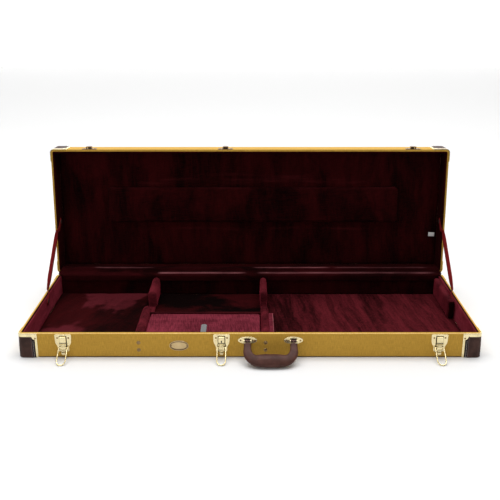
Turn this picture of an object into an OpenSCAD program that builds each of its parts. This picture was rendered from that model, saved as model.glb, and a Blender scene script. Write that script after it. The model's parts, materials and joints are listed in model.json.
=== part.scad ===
// Rectangular hard case for an electric guitar, lid open.
// Origin: centre of the tray's underside. +X to the right, +Y to the hinges, +Z up.

/* [Case] */
// Outside length, left to right
case_length = 1040; // [860:5:1300]
// Outside depth, front to back
case_depth = 335; // [290:5:460]
// Height of the tray, underside to rim
tray_height = 60; // [50:1:90]
// Height of the lid, rim to top
lid_height = 52; // [42:1:80]
// Radius of the upright outside corners
corner_r = 9; // [6:0.5:12]
// Angle that the lid stands open from closed
lid_open = 94.5; // [90:0.5:100]
// Gap between the two rims when the lid is closed
rim_gap = 0.6; // [0.4:0.1:1.5]

/* [Walls] */
// Thickness of the plywood walls
board_t = 7; // [5:0.5:10]
// Thickness of the plywood bottom and top
panel_t = 4; // [3:0.5:6]
// Thickness of the tweed cover
cover_t = 1; // [0.6:0.1:1.6]
// Thickness of the plush on the walls
lining_t = 2; // [1:0.5:4]
// Thickness of the plush pad on the floor and under the top
pad_t = 3; // [2:0.5:6]
// Drop of the plush below the rim
lining_drop = 2; // [1:0.5:6]

/* [Inside] */
// Middle of the left divider from the case's middle
left_divider_x = -251; // [-320:1:-180]
// Thickness of the left divider
left_divider_t = 22; // [14:1:30]
// Middle of the right divider from the case's middle
right_divider_x = 35; // [0:1:120]
// Thickness of the right divider
right_divider_t = 18; // [14:1:30]
// Drop of the dividers' tops below the rim
divider_drop = 1; // [0:0.5:8]
// Where the neck slot starts, from the inside of the front wall
slot_start = 140; // [118:1:160]
// Width of the neck slot
slot_width = 78; // [60:1:95]
// Height of the strip that joins a divider under its slot
slot_sill = 5; // [3:1:20]
// Space left behind the dividers for the hinge flap
back_clear = 2.4; // [2:0.1:6]
// Outside depth of the accessory box, front to back
box_depth = 112; // [80:1:125]
// Thickness of the accessory box's back board and lid
box_board_t = 7; // [5:1:12]
// Drop of the accessory lid's top below the rim
box_lid_drop = 6; // [4:1:15]
// Gap round the accessory lid
box_lid_gap = 1.2; // [0.8:0.1:3]
// Thickness of the padded side board
side_board_t = 11; // [6:1:16]
// Length of the foam block on the right end wall
end_block_l = 153; // [120:1:200]
// Thickness of that block
end_block_t = 17; // [10:1:25]
// Thickness of the extra pad under the headstock
head_pad_t = 5; // [3:1:8]
// Thickness of the soft pad in the lid
lid_pad_t = 9; // [5:1:14]

/* [Latches] */
// Places of the three latches, from the case's middle
latch_x = [-420, -64, 426];
// Height of the lever's pivot below the tray's rim
latch_drop = 27; // [24:1:32]
// Diameter of the bail's wire
bail_wire = 2.8; // [2.2:0.1:3.2]
// Spacing of the bail's legs, middle to middle
bail_width = 19.2; // [18.6:0.1:22]
// Length of the bail from its pivot to its end
bail_length = 42.3; // [40:0.1:46]
// Thickness of the pressed plates
plate_t = 1.2; // [0.8:0.1:1.6]

/* [Handle] */
// Middle of the handle from the case's middle
handle_x = 46; // [-60:1:120]
// Spacing of the handle's ends
handle_span = 103.4; // [90:0.1:130]
// Height of the handle's pins below the rim
handle_drop = 17; // [14:1:22]
// Reach from the pins to the middle of the grip
handle_reach = 53; // [46:1:70]
// Radius of the grip at its middle
grip_r = 10.5; // [8:0.5:14]

/* [Hinges] */
// Places of the three hinges, from the case's middle
hinge_x = [-340, 0, 340];
// Width of a hinge
hinge_w = 50; // [36:1:70]
// Outside radius of the knuckles
knuckle_r = 3.2; // [2.8:0.1:4]

/* [Hidden] */
$fn = 64;

TWEED = [0.66, 0.51, 0.22];
RAW_WOOD = [0.72, 0.58, 0.40];
PLUSH = [0.33, 0.08, 0.12];
LEATHER = [0.26, 0.19, 0.17];
BRASS = [0.86, 0.76, 0.52];
STEEL = [0.62, 0.62, 0.62];

eps = 0.01;
L = case_length;
D = case_depth;
H = tray_height;
wall = cover_t + board_t;
clear = 0.4;                       // gap between pieces that move past each other
fit = 0.05;                        // radial gap of a turning fit
floor_z = cover_t + panel_t + pad_t;
in_x = L / 2 - wall - lining_t;    // half of the room inside, across
in_y = D / 2 - wall - lining_t;    // half of the room inside, front to back
rivet_r = 1.2;
rivet_head_r = 2.2;
rivet_depth = 4;                   // how far a rivet goes into the board

// Hinge line
hinge_y = D / 2 + knuckle_r + clear;
hinge_z = H + rim_gap / 2;
hinge_pin_r = 1.3;
leaf_t = 1.4;
leaf_h = 22;
knuckle_w = (hinge_w - 2 * clear) / 3;

// Corners
corner_front = 37;                 // leather along the front
corner_side = 27;                  // leather along the end
edge_strip = 4.7;                  // brass strip beside the leather
band_h = 8.5;                      // brass band along the rim
leather_t = 1.4;
corner_brass_t = 1.8;

// Dividers and accessory box
slot_y0 = -in_y + slot_start;
slot_y1 = slot_y0 + slot_width;
box_x0 = left_divider_x + left_divider_t / 2;
box_x1 = right_divider_x - right_divider_t / 2;
box_y1 = -in_y + box_depth;                    // back face of the box's back board
box_hinge_y = box_y1 - box_board_t - 0.6;
box_lid_top = H - box_lid_drop;
tab_x = -106;
tab_w = 12.8;
tab_l = 44;
tab_t = 1.2;

// Latch, in its own frame: across, up from the lever's pivot, out from the tray's front
lever_pin_r = 1;
lever_pin_out = 4;
bail_r = bail_wire / 2;
bail_drop = 6;                     // bail's pivot below the lever's
bail_out = 4.4;
lug_r = 2.4;
housing_w = 15;
lug_w = 2.5;
lever_w = 14.4;
lock_r = 3;
lock_up = 9.5;
latch_z = H - latch_drop;
bail_lean = acos((latch_z - bail_drop - bail_r - clear) / bail_length);

// Handle, leaning on the floor
handle_z = H - handle_drop;
handle_out = 4.5;
handle_pin_r = 1.5;
handle_lean = acos((handle_z - grip_r - clear) / handle_reach);
leg_w = 18;
leg_t = 11;
leg_start = 9;
bend_r = 23;
core_r = 2.5;
eye_w = 12.4;
eye_r = 3.2;

// Stay straps and hinge flap
strap_w = 12;
strap_t = 1;
strap_gap = 1;                     // strap to lining
strap_from_hinge = 142;
strap_tray_z = 46;
strap_lid_up = 15;                 // above the lid's rim, lid closed
strap_stud_r = 2;
strap_room = 5;                    // depth of the room for the strap and its stud
strap_lid_at = opened([hinge_y - strap_from_hinge, H + rim_gap + strap_lid_up]);
strap_tray_at = [hinge_y - strap_from_hinge, strap_tray_z];

// Where a point (y, z) of the closed lid lies when the lid is open
function opened(p) = let (y = p[0] - hinge_y, z = p[1] - hinge_z)
  [hinge_y + y * cos(lid_open) + z * sin(lid_open),
   hinge_z - y * sin(lid_open) + z * cos(lid_open)];

module open_lid() translate([0, hinge_y, hinge_z]) rotate([-lid_open, 0, 0])
  translate([0, -hinge_y, -hinge_z]) children();
// Frame of a fitting on the front: X across, Y up, Z out
module on_front(x, z) translate([x, -D / 2, z]) rotate([90, 0, 0]) children();
module on_back(x, z) translate([x, D / 2, z]) rotate([90, 0, 180]) children();
module along_x(w) rotate([0, 90, 0]) linear_extrude(w, center = true) children();
module box(x0, x1, y0, y1, z0, z1) translate([x0, y0, z0]) cube([x1 - x0, y1 - y0, z1 - z0]);

module rounded_rect(w, d, r) {
  square([w - 2 * r, d], center = true);
  square([w, d - 2 * r], center = true);
  for (x = [-1, 1], y = [-1, 1]) translate([x * (w / 2 - r), y * (d / 2 - r)]) circle(r);
}
module slab(w, d, h, r) linear_extrude(h) rounded_rect(w, d, r);

// Oval from two end arcs and two flatter side arcs that meet them smoothly
module oval(w, h, end_r) {
  a = w / 2 - end_r;
  side_r = (a * a + h * h / 4 - end_r * end_r) / (h - 2 * end_r);
  meet = a * side_r / (side_r - end_r);
  for (s = [-1, 1]) translate([s * a, 0]) circle(end_r);
  intersection() {
    translate([0, h / 2 - side_r]) circle(side_r);
    translate([0, side_r - h / 2]) circle(side_r);
    square([2 * meet, h], center = true);
  }
}

// ---- fasteners ----
module rivet(out, head_r = rivet_head_r, dome = 1.1) translate([0, 0, out]) {
  ball_r = (head_r * head_r + dome * dome) / (2 * dome);
  intersection() {
    translate([0, 0, dome - ball_r]) sphere(ball_r);
    cylinder(h = dome, r = head_r);
  }
  translate([0, 0, -out - rivet_depth]) cylinder(h = out + rivet_depth + eps, r = rivet_r);
}
module rivet_hole() translate([0, 0, -rivet_depth - 0.1])
  cylinder(h = rivet_depth + 12, r = rivet_r + fit);

ear_x = 12.5;
ear_up = 16;
handle_ear_x = 15.5;
badge_pin_x = 18;
corner_rivet_in = corner_front + edge_strip - 4;
corner_rivet_drop = 12;
stud_zs = [H - 23.5, H - 41.5];
badge_at = [-160, H - 30.5];

module at_latch_rivets() for (x = latch_x, s = [-1, 1])
  on_front(x + s * ear_x, latch_z + ear_up) children();
module at_handle_rivets() for (s = [-1, 1], e = [-1, 1])
  on_front(handle_x + s * handle_span / 2 + e * handle_ear_x, handle_z) children();
module at_badge_pins() for (s = [-1, 1])
  on_front(badge_at[0] + s * badge_pin_x, badge_at[1]) children();
module at_corner_rivets(z) for (s = [-1, 1]) {
  on_front(s * (L / 2 - corner_rivet_in), z) children();
  on_back(s * (L / 2 - corner_rivet_in), z) children();
}
module at_studs() for (x = [left_divider_x, right_divider_x], z = stud_zs)
  on_front(x, z) children();
module at_catch_rivets() for (x = latch_x, s = [-1, 1])
  on_front(x + s * 14, H + rim_gap + 11) children();
module at_hinge_rivets(z) for (x = hinge_x, s = [-1, 1]) on_back(x + s * 16, z) children();
hinge_rivet_off = 13;
module strap_end(p, sides = [-1, 1]) for (s = sides)
  translate([s * (in_x + lining_t + 3), p[0], p[1]]) rotate([0, -90 * s, 0]) children();
module strap_hole() cylinder(h = 8, r = strap_stud_r + fit);
strap_lid_closed = [hinge_y - strap_from_hinge, H + rim_gap + strap_lid_up];

// ---- tray shell ----
module tray_holes() {
  at_latch_rivets() rivet_hole();
  at_handle_rivets() rivet_hole();
  at_badge_pins() rivet_hole();
  at_corner_rivets(H - corner_rivet_drop) rivet_hole();
  at_studs() rivet_hole();
  at_hinge_rivets(H - hinge_rivet_off) rivet_hole();
  strap_end(strap_tray_at) strap_hole();
}
module shell_skin(h) difference() {
  slab(L, D, h, corner_r);
  translate([0, 0, cover_t]) slab(L - 2 * cover_t, D - 2 * cover_t, h - 2 * cover_t,
    corner_r - cover_t);
  box(-L / 2 + wall, L / 2 - wall, -D / 2 + wall, D / 2 - wall, h - 2 * cover_t, h + 1);
}
module long_board(h, side) intersection() {
  slab(L - 2 * cover_t, D - 2 * cover_t, h, corner_r - cover_t);
  translate([0, side * (D / 2 - cover_t - board_t / 2), h / 2])
    cube([L, board_t, h], center = true);
}
module end_board(h, side) translate([side * (L / 2 - cover_t - board_t / 2), 0, h / 2])
  cube([board_t, D - 2 * wall, h], center = true);
board_z = cover_t + panel_t;
tray_board_h = H - cover_t - board_z;

module tray_cover() color(TWEED) difference() { shell_skin(H); tray_holes(); }
module tray_bottom_board() color(RAW_WOOD) translate([0, 0, cover_t])
  slab(L - 2 * cover_t, D - 2 * cover_t, panel_t, corner_r - cover_t);
module tray_front_board() color(RAW_WOOD) difference() {
  translate([0, 0, board_z]) long_board(tray_board_h, -1);
  tray_holes();
}
module tray_back_board() color(RAW_WOOD) difference() {
  translate([0, 0, board_z]) long_board(tray_board_h, 1);
  tray_holes();
}
module tray_side_board(side) color(RAW_WOOD) difference() {
  translate([0, 0, board_z]) end_board(tray_board_h, side);
  strap_end(strap_tray_at) strap_hole();
}
module tray_left_board() tray_side_board(-1);
module tray_right_board() tray_side_board(1);

// ---- tray inside ----
module tray_lining() color(PLUSH) difference() {
  box(-L / 2 + wall, L / 2 - wall, -D / 2 + wall, D / 2 - wall, board_z, H - lining_drop);
  box(-in_x, in_x, -in_y, in_y, 0, H);
  strap_end(strap_tray_at) strap_hole();
}
module floor_pad() color(PLUSH) box(-in_x, in_x, -in_y, in_y, board_z, floor_z);
module head_pad() color(PLUSH) box(-in_x, left_divider_x - left_divider_t / 2, -in_y,
  in_y - back_clear, floor_z, floor_z + head_pad_t);
// Foam block, cut away beside the wall where the stay strap and its stud pass
module end_block() color(PLUSH) difference() {
  box(in_x - end_block_t, in_x, in_y - end_block_l, in_y - back_clear, floor_z, H - 3);
  box(in_x - strap_room, in_x + 1, strap_tray_at[0] - 13, strap_tray_at[0] + 33,
    strap_tray_z - 13, H);
}
// Padded wall with a rounded top, open across the neck slot
module divider(x, t) translate([x, 0, 0]) {
  top = H - divider_drop;
  for (y = [[-in_y, slot_y0], [slot_y1, in_y - back_clear]])
    translate([0, (y[0] + y[1]) / 2, 0]) {
      box(-t / 2, t / 2, -(y[1] - y[0]) / 2, (y[1] - y[0]) / 2, floor_z, top - t / 2);
      translate([0, 0, top - t / 2]) rotate([90, 0, 0])
        cylinder(h = y[1] - y[0], r = t / 2, center = true);
    }
  box(-t / 2, t / 2, slot_y0 - 1, slot_y1 + 1, floor_z, floor_z + slot_sill);
}
module left_divider() color(PLUSH) divider(left_divider_x, left_divider_t);
module right_divider() color(PLUSH) divider(right_divider_x, right_divider_t);
module side_board() color(PLUSH) {
  x0 = right_divider_x + right_divider_t / 2;
  top = H - box_lid_drop;
  r = 12;
  box(x0, x0 + side_board_t, -in_y, -in_y + box_depth - r, floor_z, top);
  box(x0, x0 + side_board_t, -in_y, -in_y + box_depth, floor_z, top - r);
  translate([x0 + side_board_t / 2, -in_y + box_depth - r, top - r]) along_x(side_board_t)
    circle(r);
}
module box_back_board() color(PLUSH)
  box(box_x0, box_x1, box_y1 - box_board_t, box_y1, floor_z, box_lid_top);
module box_lid_rest() color(PLUSH) box(box_x0, box_x1, -in_y, -in_y + 6,
  box_lid_top - box_board_t - 0.3 - 6, box_lid_top - box_board_t - 0.3);
module box_lid() color(PLUSH) box(box_x0 + box_lid_gap, box_x1 - box_lid_gap,
  -in_y + box_lid_gap, box_hinge_y, box_lid_top - box_board_t, box_lid_top);
module pull_tab() color("gray") {
  box(tab_x - tab_w / 2, tab_x + tab_w / 2, -in_y + box_lid_gap + 0.5,
    -in_y + tab_l - tab_w / 2, box_lid_top, box_lid_top + tab_t);
  translate([tab_x, -in_y + tab_l - tab_w / 2, box_lid_top]) cylinder(h = tab_t, d = tab_w);
}

// ---- outside trim ----
module corner_shell(h, t) difference() {
  slab(L + 2 * t, D + 2 * t, h, corner_r + t);
  translate([0, 0, -1]) slab(L, D, h + 2, corner_r);
}
module four_corners() for (x = [0, 1], y = [0, 1]) mirror([x, 0, 0]) mirror([0, y, 0])
  children();
// Room of the brass at the right front corner, band along z = h
module band_zone(h) {
  reach = 3;
  x1 = L / 2 - corner_front;
  y1 = -D / 2 + corner_side;
  box(x1 - edge_strip, L / 2 + reach, -D / 2 - reach, y1 + edge_strip, h - band_h, h + 1);
  box(x1 - edge_strip, x1, -D / 2 - reach, -D / 2 + reach, -1, h + 1);
  box(L / 2 - reach, L / 2 + reach, y1, y1 + edge_strip, -1, h + 1);
  translate([x1, -D / 2, h - band_h]) rotate([90, 0, 0]) cylinder(h = 8, r = 7, center = true);
  translate([L / 2, y1, h - band_h]) rotate([0, 90, 0]) cylinder(h = 8, r = 7, center = true);
}
module corner_zone(h) box(L / 2 - corner_front, L / 2 + 3, -D / 2 - 3, -D / 2 + corner_side,
  -1, h + 1);
module corner_leathers(h) difference() {
  intersection() { corner_shell(h, leather_t); four_corners() corner_zone(h); }
  four_corners() band_zone(h);
}
module corner_bands(h) intersection() {
  corner_shell(h, corner_brass_t);
  four_corners() intersection() {
    band_zone(h);
    box(L / 2 - corner_front - edge_strip, L / 2 + 3, -D / 2 - 3,
      -D / 2 + corner_side + edge_strip, 0, h);
  }
}
module tray_corner_leathers() color(LEATHER) corner_leathers(H);
module tray_corner_bands() color(BRASS) difference() {
  corner_bands(H);
  at_corner_rivets(H - corner_rivet_drop) rivet_hole();
}
module divider_studs() color(BRASS) at_studs() rivet(0, 4.6, 1.8);
module badge() color(BRASS) on_front(badge_at[0], badge_at[1]) difference() {
  linear_extrude(1.4) oval(43.4, 25, 9);
  translate([0, 0, 1]) linear_extrude(1) oval(39, 20.6, 7.4);
  for (s = [-1, 1]) translate([s * badge_pin_x, 0, 0]) rivet_hole();
}
module tray_rivets() color(BRASS) {
  at_latch_rivets() rivet(plate_t);
  at_handle_rivets() rivet(plate_t);
  at_badge_pins() rivet(1, 1.6, 0.8);
  at_corner_rivets(H - corner_rivet_drop) rivet(corner_brass_t);
}

// ---- latches ----
module shield() {
  translate([0, 11.7]) rounded_rect(38, 17.4, 2.5);
  translate([0, -4.3]) rounded_rect(25, 28.6, 3);
  for (s = [-1, 1]) translate([s * 12.5, 3]) circle(4);
}
module latch_base(x, keyed) color(BRASS) on_front(x, latch_z) difference() {
  union() {
    linear_extrude(plate_t) shield();
    box(-housing_w / 2, housing_w / 2, lug_r + clear, 17, 0, 6);
    for (s = [-1, 1]) translate([s * (housing_w - lug_w) / 2, 0, 0]) {
      box(-lug_w / 2, lug_w / 2, -lug_r, lug_r + clear + 1, 0, lever_pin_out);
      translate([0, 0, lever_pin_out]) along_x(lug_w) circle(lug_r);
    }
  }
  translate([0, 0, lever_pin_out]) along_x(housing_w + 2) circle(lever_pin_r + fit);
  for (s = [-1, 1]) translate([s * ear_x, ear_up, 0]) rivet_hole();
  if (keyed) translate([0, lock_up, 2]) cylinder(h = 8, r = lock_r + fit);
}
module latch_base_left() latch_base(latch_x[0], false);
module latch_base_middle() latch_base(latch_x[1], true);
module latch_base_right() latch_base(latch_x[2], false);
module lever_pins() color(STEEL) for (x = latch_x) on_front(x, latch_z)
  translate([0, 0, lever_pin_out]) along_x(housing_w) circle(lever_pin_r);
module lock_cylinder() color(BRASS) on_front(latch_x[1], latch_z)
  translate([0, lock_up, 2]) difference() {
    cylinder(h = 4.6, r = lock_r);
    translate([-0.5, -2.2, 3]) cube([1, 4.4, 3]);
  }
module lever(x, forked) color(BRASS) on_front(x, latch_z) difference() {
  union() {
    translate([0, 0, lever_pin_out]) along_x(housing_w - 2 * lug_w - 0.8) circle(2.2);
    box(-4.6, 4.6, -4, 0, lever_pin_out - 2.2, lever_pin_out + 2.2);
    box(-lever_w / 2, lever_w / 2, -15, -3, plate_t + clear, 7.2);
    box(-3.4, 3.4, -20, -14, 5.6, 7.2);
    translate([0, -19.5, 5.6]) cylinder(h = 1.6, r = 4.5);
  }
  translate([0, 0, lever_pin_out]) along_x(housing_w) circle(lever_pin_r + fit);
  for (s = [-1, 1]) translate([s * (lever_w / 2 - 1.6), -bail_drop, bail_out]) along_x(4.8)
    circle(bail_r + fit);
  if (forked) box(-1.3, 1.3, -26, -20.5, 5, 8);
}
module lever_left() lever(latch_x[0], false);
module lever_middle() lever(latch_x[1], true);
module lever_right() lever(latch_x[2], false);
// Wire loop whose ends turn in to the lever's sides
module bail(x) color(BRASS) on_front(x, latch_z) translate([0, -bail_drop, bail_out])
  rotate([-bail_lean, 0, 0]) {
    straight = bail_length - bail_width / 2;
    for (s = [-1, 1]) {
      translate([s * bail_width / 2, 0, 0]) {
        rotate([90, 0, 0]) cylinder(h = straight, r = bail_r);
        sphere(bail_r);
      }
      translate([s * (bail_width / 2 + lever_w / 2 - 3.6) / 2, 0, 0])
        along_x(bail_width / 2 - lever_w / 2 + 3.6) circle(bail_r);
    }
    translate([0, -straight, 0]) rotate([0, 0, 180]) rotate_extrude(angle = 180)
      translate([bail_width / 2, 0]) circle(bail_r);
  }
module bail_left() bail(latch_x[0]);
module bail_middle() bail(latch_x[1]);
module bail_right() bail(latch_x[2]);

// ---- handle ----
module handle_plates() color(BRASS) for (s = [-1, 1])
  on_front(handle_x + s * handle_span / 2, handle_z) difference() {
    union() {
      linear_extrude(plate_t) oval(43, 19, 7.5);
      for (e = [-1, 1]) translate([e * (eye_w / 2 + clear + 1.1), 0, 0]) {
        box(-1.1, 1.1, -3.4, 3.4, 0, handle_out);
        translate([0, 0, handle_out]) along_x(2.2) circle(3.4);
      }
    }
    translate([0, 0, handle_out]) along_x(40) circle(handle_pin_r + fit);
    for (e = [-1, 1]) translate([e * handle_ear_x, 0, 0]) rivet_hole();
  }
module handle_pins() color(STEEL) for (s = [-1, 1])
  on_front(handle_x + s * handle_span / 2, handle_z)
    translate([0, 0, handle_out]) along_x(eye_w + 2 * clear + 4.4) circle(handle_pin_r);
module in_handle() on_front(handle_x, handle_z) translate([0, 0, handle_out])
  rotate([-handle_lean, 0, 0]) children();
// U-shaped run with the given section: X of the section in the handle's plane
module handle_run(start) {
  for (s = [-1, 1]) {
    translate([s * handle_span / 2, -start, 0]) rotate([90, 0, 0])
      linear_extrude(handle_reach - bend_r - start) children();
    translate([s * (handle_span / 2 - bend_r), bend_r - handle_reach, 0])
      rotate([0, 0, s > 0 ? -90 : 180]) rotate_extrude(angle = 90)
        translate([bend_r, 0]) children();
  }
  translate([0, -handle_reach, 0]) rotate([0, 0, 90]) rotate([90, 0, 0])
    linear_extrude(handle_span - 2 * bend_r, center = true) children();
}
module handle_core() color(STEEL) in_handle() difference() {
  union() {
    handle_run(0) circle(core_r);
    for (s = [-1, 1]) translate([s * handle_span / 2, 0, 0]) along_x(eye_w) circle(eye_r);
  }
  along_x(2 * L) circle(handle_pin_r + fit);
}
module handle_grip() color(LEATHER) in_handle() difference() {
  union() {
    handle_run(leg_start) rounded_rect(leg_w, leg_t, leg_t / 2 - 0.2);
    translate([0, -handle_reach, 0]) rotate([0, 90, 0])
      cylinder(h = handle_span - 2 * bend_r, r = grip_r, center = true);
  }
  handle_run(0) circle(core_r);
}

// ---- hinges ----
module knuckle_line() translate([0, hinge_y, hinge_z]) children();
module tray_leaf() difference() {
  union() {
    box(-hinge_w / 2, hinge_w / 2, D / 2, D / 2 + leaf_t, H - leaf_h, hinge_z);
    for (s = [-1, 1]) knuckle_line() translate([s * (hinge_w - knuckle_w) / 2, 0, 0])
      along_x(knuckle_w) circle(knuckle_r);
  }
  knuckle_line() along_x(hinge_w + 2) circle(hinge_pin_r + fit);
  knuckle_line() along_x(knuckle_w + 2 * clear) circle(knuckle_r + clear);
}
module lid_leaf() difference() {
  union() {
    box(-hinge_w / 2, hinge_w / 2, D / 2, D / 2 + leaf_t, hinge_z, H + rim_gap + leaf_h);
    knuckle_line() along_x(knuckle_w) circle(knuckle_r);
  }
  knuckle_line() along_x(hinge_w + 2) circle(hinge_pin_r + fit);
  for (s = [-1, 1]) knuckle_line() translate([s * (hinge_w + 2 + knuckle_w) / 4, 0, 0])
    along_x((hinge_w + 2 - knuckle_w) / 2) circle(knuckle_r + clear);
}
module hinge_tray_leaves() color(BRASS) difference() {
  for (x = hinge_x) translate([x, 0, 0]) tray_leaf();
  at_hinge_rivets(H - hinge_rivet_off) rivet_hole();
}
module hinge_lid_leaves() color(BRASS) open_lid() difference() {
  for (x = hinge_x) translate([x, 0, 0]) lid_leaf();
  at_hinge_rivets(H + rim_gap + hinge_rivet_off) rivet_hole();
}
module hinge_pins() color(STEEL) for (x = hinge_x) translate([x, 0, 0]) knuckle_line()
  along_x(hinge_w) circle(hinge_pin_r);
module hinge_tray_rivets() color(BRASS) at_hinge_rivets(H - hinge_rivet_off) rivet(leaf_t);
module hinge_lid_rivets() color(BRASS) open_lid()
  at_hinge_rivets(H + rim_gap + hinge_rivet_off) rivet(leaf_t);

// ---- lid shell, drawn closed and then opened ----
lid_z = H + rim_gap;
lid_board_h = lid_height - cover_t - board_z;
module flipped_lid() translate([0, 0, lid_z + lid_height]) mirror([0, 0, 1]) children();
module lid_holes() {
  at_catch_rivets() rivet_hole();
  at_corner_rivets(lid_z + corner_rivet_drop) rivet_hole();
  at_hinge_rivets(lid_z + hinge_rivet_off) rivet_hole();
}
module lid_cover() color(TWEED) open_lid() difference() {
  flipped_lid() shell_skin(lid_height);
  lid_holes();
}
module lid_top_board() color(RAW_WOOD) open_lid() flipped_lid() translate([0, 0, cover_t])
  slab(L - 2 * cover_t, D - 2 * cover_t, panel_t, corner_r - cover_t);
module lid_long_board(side) color(RAW_WOOD) open_lid() difference() {
  flipped_lid() translate([0, 0, board_z]) long_board(lid_board_h, side);
  lid_holes();
}
module lid_front_board() lid_long_board(-1);
module lid_back_board() lid_long_board(1);
module lid_end_board(side) color(RAW_WOOD) open_lid() difference() {
  flipped_lid() translate([0, 0, board_z]) end_board(lid_board_h, side);
  strap_end(strap_lid_closed) strap_hole();
}
module lid_left_board() lid_end_board(-1);
module lid_right_board() lid_end_board(1);
lid_ceiling = lid_z + lid_height - board_z - pad_t;
module lid_lining() color(PLUSH) open_lid() difference() {
  box(-L / 2 + wall, L / 2 - wall, -D / 2 + wall, D / 2 - wall, lid_z + lining_drop,
    lid_z + lid_height - board_z);
  box(-in_x, in_x, -in_y, in_y, 0, lid_ceiling);
  strap_end(strap_lid_closed) strap_hole();
}
module lid_pad() color(PLUSH) open_lid() translate([8, hinge_y - 182, lid_ceiling - lid_pad_t])
  slab(792, 106, lid_pad_t, 14);
module lid_corner_leathers() color(LEATHER) open_lid() translate([0, 0, lid_z])
  translate([0, 0, lid_height]) mirror([0, 0, 1]) corner_leathers(lid_height);
module lid_corner_bands() color(BRASS) open_lid() difference() {
  flipped_lid() corner_bands(lid_height);
  at_corner_rivets(lid_z + corner_rivet_drop) rivet_hole();
}
// The disc that fits inside the raised bail's round end
hook_y = latch_z - bail_drop + bail_length - bail_width / 2 - lid_z;
hook_r = bail_width / 2 - bail_r - 0.7;
module catches() color(BRASS) open_lid() for (x = latch_x) on_front(x, lid_z) difference() {
  union() {
    translate([0, 10, 0]) linear_extrude(plate_t) rounded_rect(38, 17, 3);
    intersection() {
      translate([0, hook_y, 0]) cylinder(h = 7.4, r = hook_r);
      box(-10, 10, 1.8, 30, 0, 8);
    }
  }
  box(-5, 5, 0, hook_y + hook_r - 1.4, plate_t, 5.8);
  for (s = [-1, 1]) translate([s * 14, 11, 0]) rivet_hole();
}
module lid_rivets() color(BRASS) open_lid() {
  at_catch_rivets() rivet(plate_t);
  at_corner_rivets(lid_z + corner_rivet_drop) rivet(corner_brass_t);
}

// ---- straps, flap and tag ----
stud_out = 3 + lining_t + strap_gap + strap_t;
module strap_stud() {
  cylinder(h = stud_out + 0.3, r = strap_stud_r);
  translate([0, 0, stud_out + 0.3]) cylinder(h = 1.2, r = 5.5);
}
module strap_tray_studs() color(BRASS) strap_end(strap_tray_at) strap_stud();
module strap_lid_studs() color(BRASS) open_lid() strap_end(strap_lid_closed) strap_stud();
module stay_straps() color([0.45, 0.02, 0.03]) {
  run = strap_lid_at - strap_tray_at;
  reach = norm(run);
  for (s = [-1, 1]) translate([s * (in_x - strap_gap - strap_t / 2), strap_tray_at[0],
    strap_tray_at[1]]) rotate([atan2(run[1], run[0]), 0, 0]) difference() {
      box(-strap_t / 2, strap_t / 2, -8, reach + 8, -strap_w / 2, strap_w / 2);
      for (y = [0, reach]) translate([0, y, 0]) along_x(4) circle(strap_stud_r + clear);
    }
}
// Cloth strip from the tray's back lining over the rim to the lid's back lining
module hinge_flap() color(PLUSH) {
  t = 1.2;
  y0 = in_y - 0.5;
  lid_low = opened([in_y, lid_z + lining_drop]);
  lid_far = opened([in_y, lid_z + lining_drop + 20]);
  up = 1.2;
  rotate([90, 0, 90]) linear_extrude(2 * in_x - 20, center = true) polygon([
    [y0, H - 14], [y0, H + 5], [lid_low[0], lid_low[1] + up], [lid_far[0], lid_far[1] + up],
    [lid_far[0], lid_far[1] + up + t], [lid_low[0] - 0.5, lid_low[1] + up + t],
    [y0 - t, H + 6], [y0 - t, H - 14]]);
}
module cloth_tag() color("white") open_lid()
  translate([in_x - 14, hinge_y - 99, lid_ceiling - 0.4 - 0.3])
    cube([16, 11, 0.8], center = true);

tray_cover();
tray_bottom_board();
tray_front_board();
tray_back_board();
tray_left_board();
tray_right_board();
tray_lining();
floor_pad();
head_pad();
end_block();
left_divider();
right_divider();
side_board();
box_back_board();
box_lid_rest();
tray_corner_leathers();
tray_corner_bands();
divider_studs();
badge();
tray_rivets();
latch_base_left();
latch_base_middle();
latch_base_right();
lever_pins();
handle_plates();
handle_pins();
hinge_tray_leaves();
hinge_pins();
hinge_tray_rivets();
stay_straps();
strap_tray_studs();
hinge_flap();
lid_cover();
lid_top_board();
lid_front_board();
lid_back_board();
lid_left_board();
lid_right_board();
lid_lining();
lid_pad();
hinge_lid_leaves();
hinge_lid_rivets();
lid_corner_leathers();
lid_corner_bands();
catches();
lid_rivets();
strap_lid_studs();
cloth_tag();
box_lid();
pull_tab();
lever_left();
lever_middle();
lever_right();
bail_left();
bail_middle();
bail_right();
lock_cylinder();
handle_core();
handle_grip();
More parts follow.
